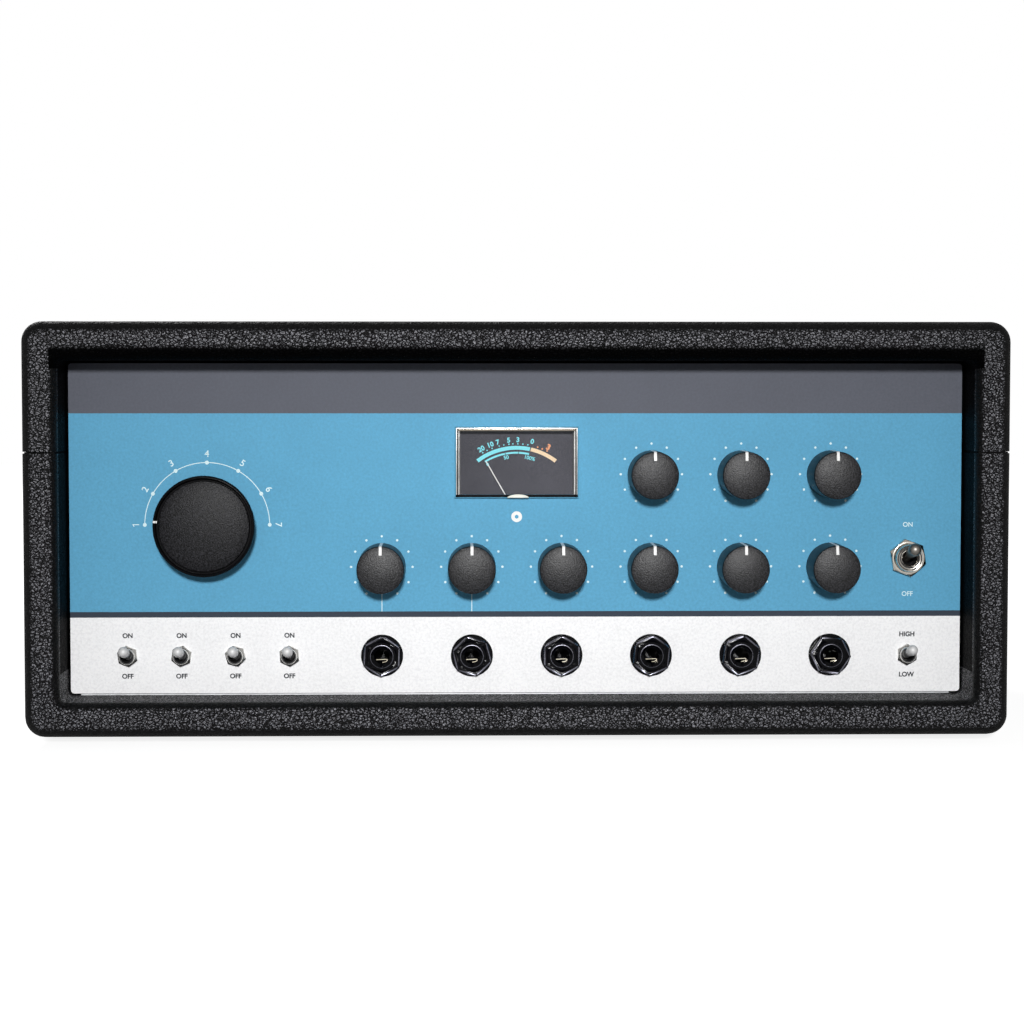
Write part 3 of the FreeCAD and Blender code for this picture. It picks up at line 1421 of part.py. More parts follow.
keep("meter_lens", meter_lens())
keep("meter_case", meter_case())
keep("meter_dial", *meter_dial())
keep("meter_needle", meter_needle())
keep("deck_plate", deck_plate())
keep("deck_pillars", *deck_pillars())
keep("control_cover", control_cover())
keep("tape_tank", tape_tank())
keep("tank_cover", tank_cover())
keep("thumb_screws", *thumb_screws())
keep("tape_loop", tape_loop())
keep("guide_posts", *guide_posts())
keep("head_base", head_base())
keep("erase_head", tape_head(0))
keep("record_head", tape_head(1))
keep("playback_heads", *[tape_head(i) for i in range(2, head_count)])
keep("capstan_bearing", capstan_bearing())
keep("capstan_flywheel", *capstan_flywheel())
keep("drive_motor", drive_motor())
keep("motor_pulley", *motor_pulley())
keep("drive_belt", drive_belt())
keep("pinch_arm", pinch_arm())
keep("pinch_roller", pinch_roller())
keep("transformer", *transformer())
keep("circuit_board", *circuit_board(), *circuit_parts())
keep("rear_panel", rear_panel())
keep("mains_inlet", *mains_inlet())
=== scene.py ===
import json
import math

import bmesh
import bpy
from mathutils import Matrix, Vector


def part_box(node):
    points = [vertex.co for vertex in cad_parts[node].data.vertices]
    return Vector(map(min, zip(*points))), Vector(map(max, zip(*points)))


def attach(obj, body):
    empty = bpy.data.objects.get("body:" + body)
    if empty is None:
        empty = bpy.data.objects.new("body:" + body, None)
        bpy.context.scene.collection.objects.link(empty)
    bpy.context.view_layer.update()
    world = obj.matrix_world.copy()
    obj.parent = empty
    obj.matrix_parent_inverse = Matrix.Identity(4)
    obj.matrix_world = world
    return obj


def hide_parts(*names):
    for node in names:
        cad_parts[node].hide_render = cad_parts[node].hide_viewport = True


# Looks of a tape echo unit: a vinyl-covered box with a recessed blue and silver panel.
# Sizes in the dictionaries are millimetres, and mm() turns them into metres.

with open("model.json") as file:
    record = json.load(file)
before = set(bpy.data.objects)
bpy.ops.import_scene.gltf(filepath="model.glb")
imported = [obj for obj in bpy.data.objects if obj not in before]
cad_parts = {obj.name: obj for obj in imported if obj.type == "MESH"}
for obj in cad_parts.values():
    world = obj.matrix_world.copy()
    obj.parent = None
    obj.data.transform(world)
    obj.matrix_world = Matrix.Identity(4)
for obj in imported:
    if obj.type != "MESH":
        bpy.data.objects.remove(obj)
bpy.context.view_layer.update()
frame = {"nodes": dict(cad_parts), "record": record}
nodes = frame["nodes"]
joints = {joint["name"]: joint for joint in frame["record"]["behaviour"]["joints"]}
print("frame loaded:", len(nodes), "nodes")


def mm(*values):
    scaled = [v * 0.001 for v in values]
    return scaled[0] if len(scaled) == 1 else Vector(scaled)


def middleOf(node):
    low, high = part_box(node)
    return (low + high) / 2


def pivotOf(joint):
    return Vector(joints[joint]["pos_m"])


def deselect():
    bpy.ops.object.select_all(action="DESELECT")


def only(piece):
    deselect()
    bpy.context.view_layer.objects.active = piece
    piece.select_set(True)


# in edit mode nothing is selected at first, then faces or edges are picked by a test
def startEdit(piece):
    only(piece)
    bpy.ops.object.mode_set(mode="EDIT")
    bpy.ops.mesh.select_all(action="DESELECT")


def endEdit():
    bpy.ops.object.mode_set(mode="OBJECT")


def pick(piece, kind, test):
    bpy.ops.mesh.select_mode(type=kind)
    bpy.ops.mesh.select_all(action="DESELECT")
    mesh = bmesh.from_edit_mesh(piece.data)
    for item in {"FACE": mesh.faces, "EDGE": mesh.edges, "VERT": mesh.verts}[kind]:
        item.select_set(test(item))
    bmesh.update_edit_mesh(piece.data)


def newPiece(name):
    # names the object that an operator has just added
    piece = bpy.context.object
    piece.name = name
    piece.data.name = name
    return piece


def settle(piece):
    # puts place, turn and size into the mesh
    only(piece)
    bpy.ops.object.transform_apply(location=True, rotation=True, scale=True)


def applyAll(piece):
    only(piece)
    for modifier in list(piece.modifiers):
        bpy.ops.object.modifier_apply(modifier=modifier.name)


def smooth(piece, degrees=35):
    only(piece)
    bpy.ops.object.shade_smooth_by_angle(angle=math.radians(degrees))


def bevel(piece, width, segments=2, angle=30):
    modifier = piece.modifiers.new("Bevel", "BEVEL")
    modifier.width = mm(width)
    modifier.segments = segments
    modifier.limit_method = "ANGLE"
    modifier.angle_limit = math.radians(angle)
    applyAll(piece)


def chain(name, points):
    # a line of edges through the points, drawn by extruding one vertex
    deselect()
    bpy.ops.mesh.primitive_plane_add(size=0.001, location=points[0])
    piece = newPiece(name)
    bpy.ops.object.mode_set(mode="EDIT")
    bpy.ops.mesh.select_mode(type="VERT")
    bpy.ops.mesh.select_all(action="SELECT")
    bpy.ops.mesh.merge(type="CENTER")
    for last, following in zip(points, points[1:]):
        step = Vector(following) - Vector(last)
        bpy.ops.mesh.extrude_region_move(TRANSFORM_OT_translate={"value": step})
    bpy.ops.mesh.select_all(action="SELECT")
    return piece


def turned(name, profile, centre, axis=(0, 1, 0), steps=48, degrees=35):
    # spins (radius, height) points in millimetres about the axis through the centre
    along = Vector(axis).normalized()
    across = Vector((1, 0, 0)) if abs(along.x) < 0.5 else Vector((0, 0, 1))
    middle = Vector(centre)
    piece = chain(name, [middle + across * mm(r) + along * mm(h) for r, h in profile])
    bpy.ops.mesh.spin(steps=steps, angle=math.radians(360), center=middle, axis=along, dupli=False)
    bpy.ops.mesh.select_all(action="SELECT")
    bpy.ops.mesh.remove_doubles(threshold=0.000004)
    bpy.ops.mesh.normals_make_consistent(inside=False)
    endEdit()
    settle(piece)
    smooth(piece, degrees)
    return piece


def turnedUp(name, profile, steps, degrees=35):
    # stands on the origin, for a piece that is copied to its places
    return turned(name, profile, (0, 0, 0), (0, 0, 1), steps, degrees)


def prism(name, points, depth, bevelWidth=0.0, segments=2):
    # fills a closed outline of metre points and extrudes it by the depth vector
    piece = chain(name, points)
    bpy.ops.mesh.edge_face_add()
    bpy.ops.mesh.extrude_region_move(TRANSFORM_OT_translate={"value": Vector(depth)})
    bpy.ops.mesh.select_all(action="SELECT")
    bpy.ops.mesh.normals_make_consistent(inside=False)
    endEdit()
    settle(piece)
    if bevelWidth:
        bevel(piece, bevelWidth, segments)
    smooth(piece)
    return piece


def box(name, low, high, bevelWidth=0.0, segments=2):
    # a block between two corners in metres, its edges broken by a small bevel
    low, high = Vector(low), Vector(high)
    deselect()
    bpy.ops.mesh.primitive_cube_add(size=1, location=(low + high) / 2)
    piece = newPiece(name)
    piece.scale = high - low
    settle(piece)
    if bevelWidth:
        bevel(piece, bevelWidth, segments)
    smooth(piece)
    return piece


def copyBy(piece, name, offset):
    # a copy with its own mesh, moved by the offset
    return placed(piece, name, Matrix.Translation(Vector(offset)))


def placed(piece, name, matrix):
    twin = piece.copy()
    twin.data = piece.data.copy()
    twin.name = name
    twin.data.name = name
    bpy.context.collection.objects.link(twin)
    twin.data.transform(matrix)
    return twin


def standing(centre, axis, turn=0.0):
    # takes a piece made at the origin, along +Z, to the centre and onto the axis
    lean = Vector((0, 0, 1)).rotation_difference(Vector(axis)).to_matrix().to_4x4()
    return Matrix.Translation(Vector(centre)) @ lean @ Matrix.Rotation(math.radians(turn), 4, "Z")


def joined(name, pieces):
    deselect()
    for piece in pieces:
        piece.select_set(True)
    bpy.context.view_layer.objects.active = pieces[0]
    if len(pieces) > 1:
        bpy.ops.object.join()
    return newPiece(name)


def cutBy(piece, cutter, operation="DIFFERENCE"):
    modifier = piece.modifiers.new("Boolean", "BOOLEAN")
    modifier.operation = operation
    modifier.object = cutter
    modifier.solver = "EXACT"
    applyAll(piece)
    bpy.data.objects.remove(cutter)
    return piece


def secondFinish(piece, finish, test):
    # gives the faces that pass the test their own finish; called after dress
    piece.data.materials.append(bpy.data.materials[finish])
    for face in piece.data.polygons:
        if test(face):
            face.material_index = len(piece.data.materials) - 1
    return piece


def dress(piece, finish, body="cabinet", replaced=()):
    # the piece's finish, its slot, the body that it rides on and the nodes that it stands for
    piece.data.materials.clear()
    piece.data.materials.append(bpy.data.materials[finish])
    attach(piece, body)
    if replaced:
        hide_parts(*replaced)
    return piece


def around(centre, radius, degrees, drop=0.0):
    # a point on a ring that faces the front, degrees clockwise from straight up
    angle = math.radians(degrees)
    return Vector(centre) + mm(radius * math.sin(angle), drop, radius * math.cos(angle))


def writing(name, text, size, centre, turn=0.0, weight=0.0):
    # flat lettering that faces the front, its middle at the centre
    deselect()
    bpy.ops.object.text_add(location=(0, 0, 0))
    piece = bpy.context.object
    piece.data.body = text
    piece.data.size = mm(size)
    piece.data.offset = mm(weight)
    piece.data.align_x = "CENTER"
    piece.data.align_y = "CENTER"
    bpy.ops.object.convert(target="MESH")
    piece = newPiece(name)
    middle = sum((Vector(corner) for corner in piece.bound_box), Vector()) / 8
    facing = Matrix.Rotation(math.radians(turn), 4, "Y") @ Matrix.Rotation(math.radians(90), 4, "X")
    piece.data.transform(Matrix.Translation(Vector(centre)) @ facing @ Matrix.Translation(-middle))
    return piece


def dotAt(name, radius, centre):
    deselect()
    bpy.ops.mesh.primitive_circle_add(vertices=20, radius=mm(radius), fill_type="NGON", location=centre,
                                      rotation=(math.radians(90), 0, 0))
    piece = newPiece(name)
    settle(piece)
    return piece


def flatArc(name, centre, inner, outer, start, stop, steps):
    # flat ring sector that faces the front, between two clock angles
    piece = chain(name, [around(centre, inner, start), around(centre, outer, start)])
    bpy.ops.mesh.spin(steps=steps, angle=math.radians(start - stop), center=Vector(centre), axis=(0, 1, 0),
                      dupli=False)
    endEdit()
    settle(piece)
    faceFront(piece)
    return piece


def flatStrip(name, low, high):
    # flat rectangle that faces the front
    return flatPatch(name, [low, (high[0], low[1], low[2]), high, (low[0], low[1], high[2])])


def flatPatch(name, outline):
    piece = chain(name, outline)
    bpy.ops.mesh.edge_face_add()
    endEdit()
    settle(piece)
    faceFront(piece)
    return piece


def faceFront(piece):
    startEdit(piece)
    pick(piece, "FACE", lambda face: face.normal.y > 0)
    bpy.ops.mesh.flip_normals()
    endEdit()


def addNode(tree, kind, settings=(), values=(), **inputs):
    # values fill the node's inputs in order, and the other words fill them by name
    node = tree.nodes.new(kind)
    for key, value in dict(settings).items():
        setattr(node, key, value)
    for key, value in list(enumerate(values)) + list(inputs.items()):
        socket = node.inputs[key]
        if isinstance(value, bpy.types.NodeSocket):
            tree.links.new(value, socket)
        elif value is not None:
            socket.default_value = value
    return node


def sums(tree, operation, a, b=None):
    return addNode(tree, "ShaderNodeMath", {"operation": operation}, (a, b)).outputs[0]


def times(tree, first, *others):
    for other in others:
        first = sums(tree, "MULTIPLY", first, other)
    return first


def noise(tree, vector, scale, detail, rough):
    return addNode(tree, "ShaderNodeTexNoise", Vector=vector, Scale=scale, Detail=detail,
                   Roughness=rough).outputs[0]


def ramp(tree, factor, stops):
    node = addNode(tree, "ShaderNodeValToRGB", Fac=factor)
    elements = node.color_ramp.elements
    while len(elements) < len(stops):
        elements.new(0.5)
    for element, (place, colour) in zip(elements, stops):
        element.position = place
        element.color = (*colour, 1)
    return node.outputs[0]


def greys(tree, factor, *stops):
    return ramp(tree, factor, [(place, grey(value)) for place, value in stops])


def blendOf(tree, factor, a, b, kind="MIX"):
    node = addNode(tree, "ShaderNodeMix", {"data_type": "RGBA", "blend_type": kind})
    for index, value in ((0, factor), (6, a), (7, b)):
        if isinstance(value, bpy.types.NodeSocket):
            tree.links.new(value, node.inputs[index])
        else:
            node.inputs[index].default_value = value if index == 0 else (*value, 1)
    return node.outputs[2]


def axisOf(tree, coords, index):
    return addNode(tree, "ShaderNodeSeparateXYZ", Vector=coords).outputs[index]


def grey(value):
    return (value, value, value)


def srgb(red, green, blue):
    levels = [c / 255 for c in (red, green, blue)]
    return tuple(c / 12.92 if c <= 10 / 255 else ((c + 0.055) / 1.055) ** 2.4 for c in levels)


def newMaterial(name, roughness, metallic=0.0, **sockets):
    material = bpy.data.materials.new(name)
    material.use_nodes = True
    tree = material.node_tree
    shader = tree.nodes["Principled BSDF"]
    shader.inputs["Roughness"].default_value = roughness
    shader.inputs["Metallic"].default_value = metallic
    for key, value in sockets.items():
        shader.inputs[key.replace("_", " ")].default_value = value
    return tree, shader, tree.nodes.new("ShaderNodeTexCoord").outputs["Object"]


def mapped(tree, coords, scale, turn=(0, 0, 0)):
    return addNode(tree, "ShaderNodeMapping", Vector=coords, Scale=scale,
                   Rotation=[math.radians(a) for a in turn]).outputs[0]


def feed(tree, shader, **sockets):
    for key, output in sockets.items():
        tree.links.new(output, shader.inputs[key.replace("_", " ")])


def bump(tree, shader, height, depth, strength=1.0):
    node = addNode(tree, "ShaderNodeBump", Height=height, Distance=depth, Strength=strength)
    feed(tree, shader, Normal=node.outputs[0])


def surface(name, dark, light, grain, rough, depth=20, metallic=0.0, stretch=None, patches=25, shine=0.5):
    # two close tones in soft patches, a fine grain in the gloss and a matching bump, its depth in micrometres
    tree, shader, coords = newMaterial(name, rough[0], metallic, Specular_IOR_Level=shine)
    soft = noise(tree, coords, patches, 4.0, 0.6)
    fine = noise(tree, mapped(tree, coords, stretch) if stretch else coords, grain, 4.0, 0.65)
    mixed = sums(tree, "ADD", times(tree, soft, 0.55), times(tree, fine, 0.45))
    feed(tree, shader, Base_Color=ramp(tree, mixed, [(0.3, dark), (0.7, light)]),
         Roughness=greys(tree, mixed, (0.3, rough[0]), (0.7, rough[1])))
    bump(tree, shader, fine, depth * 0.000001, 0.6)


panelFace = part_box("front_panel")[0].y
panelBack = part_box("front_panel")[1].y

vinylLook = {
    # crease and crown colours: painted shade in the creases and a painted highlight on the crowns
    "crease": (0.0004, 0.0004, 0.0005), "crown": (0.34, 0.34, 0.372), "pebbles": 600.0, "wrinkles": 350.0,
    "stretch": (1.0, 1.0, 1.35), "slant": (0, 33, 0), "bend": 0.0022, "creaseWide": 0.16, "depth": 0.0004,
    "waves": 2.0, "mottle": (0.02, 1.0), "mottleGrain": 1700.0, "roughness": (0.3, 0.6), "shine": 0.16,
    "liningDark": (0.006, 0.006, 0.007), "liningLight": (0.022, 0.022, 0.025), "liningGrain": 500.0,
    # how far back the front edge's turn reaches, and how much of the crowns' painted highlight is left along
    # it, a painted shade on the turn
    "edgeWide": 6.0, "frontEdge": [(0.03, 1.0), (0.15, 0.15), (0.6, 0.15), (0.95, 1.0)],
    # half width, foot and top of the space in the box, of the recess and of the roll under the lid's edge
    "inside": (191.0, 18.0, 161.0), "recess": (191.5, 30.0, 161.2), "roll": (193.0, 157.0, 300.0),
    "insideTo": 126.0, "recessFrom": 6.5, "rollTo": 7.0, "rollFade": (164.5, 2.5), "shaded": 0.88,
}


def within(tree, coords, block, front, back):
    # 1 in a block that is centred on x, 0 outside it
    x, y, z = [axisOf(tree, coords, i) for i in range(3)]
    half, foot, top = mm(*block)
    return times(tree, sums(tree, "LESS_THAN", sums(tree, "ABSOLUTE", x), half),
                 sums(tree, "GREATER_THAN", z, foot), sums(tree, "LESS_THAN", z, top),
                 sums(tree, "GREATER_THAN", y, front), sums(tree, "LESS_THAN", y, back))


def vinylMaterial(look):
    # black pebbled vinyl: a painted highlight on the low crowns of the pebbles and painted shade in the
    # creases, over a pebble bump, and a smooth black lining behind the panel
    tree, shader, coords = newMaterial("pebbledVinyl", 0.4)
    front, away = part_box("lower_case")[0].y, mm(300.0)
    inside = within(tree, coords, look["inside"], panelBack, mm(look["insideTo"]))
    covered = sums(tree, "SUBTRACT", 1.0, inside)
    slanted = mapped(tree, coords, look["stretch"], look["slant"])
    wander = addNode(tree, "ShaderNodeTexNoise", Vector=slanted, Scale=look["wrinkles"],
                     Detail=2.0).outputs["Color"]
    bent = addNode(tree, "ShaderNodeVectorMath", {"operation": "MULTIPLY_ADD"},
                   (wander, (look["bend"],) * 3, slanted)).outputs[0]
    cells = addNode(tree, "ShaderNodeTexVoronoi", {"feature": "DISTANCE_TO_EDGE"}, Vector=bent,
                    Scale=look["pebbles"], Randomness=1.0).outputs["Distance"]
    pebble = greys(tree, cells, (0.0, 0.0), (look["creaseWide"], 0.8), (0.5, 1.0))
    waves = noise(tree, slanted, look["wrinkles"], 1.0, 0.5)
    height = times(tree, sums(tree, "ADD", pebble, times(tree, waves, look["waves"])), covered)
    # painted shade on the crowns where the vinyl turns over the front edges
    setBack = sums(tree, "SUBTRACT", axisOf(tree, coords, 1), front)
    setBack = sums(tree, "DIVIDE", setBack, mm(look["edgeWide"]))
    crown = times(tree, pebble, covered, greys(tree, setBack, *look["frontEdge"]))
    # the walls of the recess and the roll under the lid's front edge see little light
    recess = within(tree, coords, look["recess"], front + mm(look["recessFrom"]), away)
    fadeFrom, fadeWide = look["rollFade"]
    upward = sums(tree, "SUBTRACT", axisOf(tree, coords, 2), mm(fadeFrom))
    upward = sums(tree, "DIVIDE", upward, mm(fadeWide))
    roll = times(tree, within(tree, coords, look["roll"], -away, front + mm(look["rollTo"])),
                 greys(tree, upward, (0, 1), (1, 0)))
    shade = sums(tree, "SUBTRACT", 1.0, times(tree, sums(tree, "MAXIMUM", recess, roll), look["shaded"]))
    dull, bright = look["mottle"]
    mottle = greys(tree, noise(tree, slanted, look["mottleGrain"], 2.0, 0.6), (0.42, dull), (0.6, bright))
    crown = times(tree, crown, shade, mottle)
    # the vinyl's colour: painted highlight on the crowns, painted shade in the creases
    cover = ramp(tree, crown, [(0.2, look["crease"]), (1.0, look["crown"])])
    lining = ramp(tree, noise(tree, coords, look["liningGrain"], 3.0, 0.6),
                  [(0.35, look["liningDark"]), (0.65, look["liningLight"])])
    glossy, rough = look["roughness"]
    feed(tree, shader, Base_Color=blendOf(tree, inside, cover, lining),
         Specular_IOR_Level=times(tree, shade, look["shine"]),
         Roughness=greys(tree, crown, (0.3, rough), (0.85, glossy)))
    bump(tree, shader, height, look["depth"])


panelLook = {
    "header": srgb(94, 97, 107), "blue": srgb(96, 168, 204), "stripe": srgb(57, 65, 77),
    "silver": srgb(253, 253, 254), "stripeLow": 0.0518, "stripeHigh": 0.0542, "blueHigh": 0.1384,
    "grain": 900.0, "grainDepth": 0.00003, "clouds": 60.0,
}


def panelMaterial(look):
    # bands of fine textured paint, told apart by height
    tree, shader, coords = newMaterial("panelPaint", 0.5, Specular_IOR_Level=0.1)
    height = axisOf(tree, coords, 2)
    colour = look["silver"]
    for name, low in (("stripe", "stripeLow"), ("blue", "stripeHigh"), ("header", "blueHigh")):
        colour = blendOf(tree, sums(tree, "GREATER_THAN", height, look[low]), colour, look[name])
    grain = noise(tree, coords, look["grain"], 3.0, 0.7)
    speck = greys(tree, grain, (0.3, 0.89), (0.7, 1.08))
    cloud = greys(tree, noise(tree, coords, look["clouds"], 4.0, 0.6), (0.3, 0.975), (0.7, 1.02))
    toned = blendOf(tree, 1.0, colour, blendOf(tree, 1.0, speck, cloud, "MULTIPLY"), "MULTIPLY")
    feed(tree, shader, Base_Color=toned, Roughness=greys(tree, grain, (0.3, 0.42), (0.7, 0.6)))
    bump(tree, shader, grain, look["grainDepth"], 0.5)


knobLook = {"dark": (0.001, 0.001, 0.0014), "light": (0.024, 0.024, 0.028), "grain": 1900.0,
            "capRough": (0.34, 0.42), "grainDepth": 0.00014, "smallShine": 0.32, "modeShine": 0.14}


def knobMaterial(name, look, shine):
    # grained cap of a knob; the sides have their own polished finish
    tree, shader, coords = newMaterial(name, 0.4, Specular_IOR_Level=shine)
    grain = noise(tree, coords, look["grain"], 2.0, 0.6)
    feed(tree, shader, Base_Color=ramp(tree, grain, [(0.44, look["dark"]), (0.6, look["light"])]),
         Roughness=greys(tree, grain, (0.3, look["capRough"][0]), (0.7, look["capRough"][1])))
    bump(tree, shader, grain, look["grainDepth"])


def windowMaterial(name):
    # clear acrylic: thin, faintly smudged, mostly see-through
    tree, shader, coords = newMaterial(name, 0.05, Alpha=0.04, Specular_IOR_Level=0.25)
    smear = noise(tree, coords, 40.0, 5.0, 0.6)
    feed(tree, shader, Roughness=greys(tree, smear, (0.35, 0.03), (0.7, 0.12)),
         Base_Color=ramp(tree, smear, [(0.3, (0.20, 0.22, 0.24)), (0.7, (0.30, 0.32, 0.34))]))


vinylMaterial(vinylLook)
panelMaterial(panelLook)
knobMaterial("knobCharcoal", knobLook, knobLook["smallShine"])
knobMaterial("modeCharcoal", knobLook, knobLook["modeShine"])
surface("knobSide", (0.0015, 0.0015, 0.002), (0.004, 0.004, 0.005), 900, (0.26, 0.36), 6, shine=0.05)
windowMaterial("clearAcrylic")
surface("jackPlastic", (0.001, 0.001, 0.0015), (0.003, 0.003, 0.0045), 900, (0.1, 0.16), 5, shine=0.12)
surface("blackPlastic", (0.008, 0.008, 0.009), (0.02, 0.02, 0.022), 900, (0.4, 0.55))
surface("whiteInk", srgb(206, 236, 242), srgb(222, 246, 250), 1400, (0.45, 0.6), 8)
surface("darkInk", (0.025, 0.028, 0.035), (0.045, 0.048, 0.056), 1400, (0.5, 0.65), 8, shine=0.1)
surface("cyanInk", srgb(112, 226, 240), srgb(132, 240, 250), 1400, (0.45, 0.6), 8)
surface("orangeInk", srgb(238, 150, 96), srgb(250, 170, 116), 1400, (0.45, 0.6), 8)
surface("peachInk", srgb(248, 214, 170), srgb(255, 226, 186), 1400, (0.45, 0.6), 8)
surface("creamPlastic", (0.62, 0.63, 0.55), (0.8, 0.8, 0.71), 500, (0.35, 0.5), 10)
surface("markWhite", (0.78, 0.78, 0.77), (0.9, 0.9, 0.89), 800, (0.35, 0.5), 10)
surface("brightChrome", (0.68, 0.67, 0.65), (0.86, 0.85, 0.83), 300, (0.12, 0.2), 4, 1.0)
surface("darkChrome", (0.20, 0.185, 0.165), (0.32, 0.30, 0.27), 300, (0.38, 0.46), 4, 1.0)
# warm chrome for the bezel's band, a painted warm reflection
surface("warmChrome", (0.48, 0.42, 0.34), (0.62, 0.55, 0.46), 300, (0.06, 0.1), 4, 1.0)
surface("miniNickel", (0.62, 0.61, 0.58), (0.84, 0.83, 0.80), 420, (0.15, 0.25), 6, 1.0)
# near-black for the bezel's lines, painted shade and dark reflection
surface("lineBlack", (0.003, 0.003, 0.004), (0.009, 0.009, 0.01), 900, (0.5, 0.65), 4, shine=0.05)
# grey metal on black plastic: painted glints on the jacks' nut edges and bush rims
surface("jackEdge", (0.15, 0.15, 0.18), (0.27, 0.27, 0.32), 900, (0.2, 0.3), 4, 1.0)
surface("jackRim", (0.08, 0.08, 0.095), (0.18, 0.18, 0.21), 900, (0.2, 0.3), 4, 1.0)
surface("nutNickel", (0.62, 0.58, 0.51), (0.86, 0.81, 0.73), 420, (0.14, 0.24), 6, 1.0)
surface("leverMetal", (0.60, 0.60, 0.60), (0.76, 0.76, 0.76), 500, (0.42, 0.55), 6, 0.15)
surface("platedSteel", (0.42, 0.41, 0.39), (0.62, 0.61, 0.58), 420, (0.24, 0.4), 10, 1.0)
surface("blackSteel", (0.012, 0.012, 0.013), (0.03, 0.03, 0.031), 700, (0.28, 0.42), 10)
surface("zincSteel", (0.36, 0.37, 0.38), (0.55, 0.56, 0.57), 260, (0.35, 0.55), 10, 1.0, patches=90)
surface("canMetal", (0.38, 0.38, 0.38), (0.55, 0.55, 0.54), 500, (0.3, 0.45), 10, 1.0)
surface("powderCoat", (0.012, 0.012, 0.013), (0.028, 0.028, 0.03), 2200, (0.45, 0.62), 60, patches=60)
surface("deckMetal", (0.40, 0.41, 0.43), (0.58, 0.59, 0.61), 60, (0.28, 0.42), 10, 1.0, (1, 40, 40))
surface("springBrass", (0.70, 0.62, 0.46), (0.92, 0.86, 0.72), 600, (0.18, 0.3), 10, 1.0)
surface("dialCard", srgb(52, 51, 58), srgb(94, 93, 101), 900, (0.5, 0.65), 10, shine=0.1)
surface("needleWhite", (0.8, 0.8, 0.78), (0.92, 0.92, 0.9), 900, (0.4, 0.55), 6)
surface("tapeFilm", (0.05, 0.026, 0.017), (0.085, 0.047, 0.032), 200, (0.16, 0.28), 4, 0.0, (1, 1, 30))
surface("headMetal", (0.55, 0.55, 0.54), (0.74, 0.74, 0.72), 90, (0.12, 0.22), 5, 1.0, (1, 1, 30))
surface("headCore", (0.03, 0.03, 0.032), (0.06, 0.06, 0.063), 600, (0.2, 0.32), 5)
surface("turnedBrass", (0.55, 0.40, 0.18), (0.80, 0.62, 0.33), 140, (0.2, 0.34), 10, 1.0, (1, 1, 25))
surface("motorPaint", (0.02, 0.02, 0.021), (0.045, 0.045, 0.047), 900, (0.32, 0.48), 30)
surface("beltRubber", (0.008, 0.008, 0.008), (0.02, 0.02, 0.02), 1200, (0.6, 0.8), 30)
surface("footRubber", (0.01, 0.01, 0.01), (0.025, 0.025, 0.024), 700, (0.6, 0.8), 50)
surface("seamFelt", (0.004, 0.004, 0.004), (0.012, 0.012, 0.012), 1800, (0.85, 0.98), 150, shine=0.1)
surface("coreWrap", (0.45, 0.31, 0.04), (0.72, 0.54, 0.12), 260, (0.35, 0.5), 60, patches=60)
surface("boardResin", (0.012, 0.09, 0.035), (0.03, 0.18, 0.07), 500, (0.28, 0.42), 20, patches=140)

# finishes of the frame's own pieces; a slot that isn't here has one of its own name, such as beltRubber
slotFinishes = {"covered_board": "pebbledVinyl", "sheet_steel": "powderCoat", "knob_plastic": "knobCharcoal",
                "clear_window": "clearAcrylic", "needle_metal": "needleWhite", "motor_can": "motorPaint"}
nodeFinishes = {"jack_sockets": "jackPlastic", "power_lever": "darkChrome", "switch_bodies": "blackPlastic"}
for part in frame["record"]["subparts"]:
    node, slot = part["node"], part["material_slot"]
    first, second = slot.split("_")
    finish = nodeFinishes.get(node) or slotFinishes.get(slot) or first + second.title()
    nodes[node].material_slots[0].material = bpy.data.materials[finish]
print("materials set on the frame's nodes")

stageLook = {"floorSize": 8.0, "paper": 0.6, "glow": [(0.0, 0.8), (1.0, 0.98)], "fill": 0.09, "mirrored": 0.4,
             "keyPower": 2.15, "keyPlace": (-0.01, -2.35, 0.59), "keySize": 0.2, "keySpread": 40,
             "backPower": 30.0, "backPlace": (-0.9, 2.0, 1.5), "backSize": 0.8}


def seenRays(tree):
    # 1 for camera and transmission rays, less for glossy ones, 0 for the others
    path = tree.nodes.new("ShaderNodeLightPath").outputs
    mirrored = times(tree, path["Is Glossy Ray"], stageLook["mirrored"])
    first = sums(tree, "MAXIMUM", path["Is Camera Ray"], mirrored)
    return sums(tree, "MAXIMUM", first, path["Is Transmission Ray"])


def lampAt(name, place, size, power, target, spread=180):
    bpy.ops.object.light_add(type="AREA", location=place)
    lamp = bpy.context.object
    lamp.name = name
    lamp.data.shape = "DISK"
    lamp.data.size = size
    lamp.data.energy = power
    lamp.data.spread = math.radians(spread)
    lamp.rotation_euler = (Vector(target) - lamp.location).to_track_quat("-Z", "Y").to_euler()


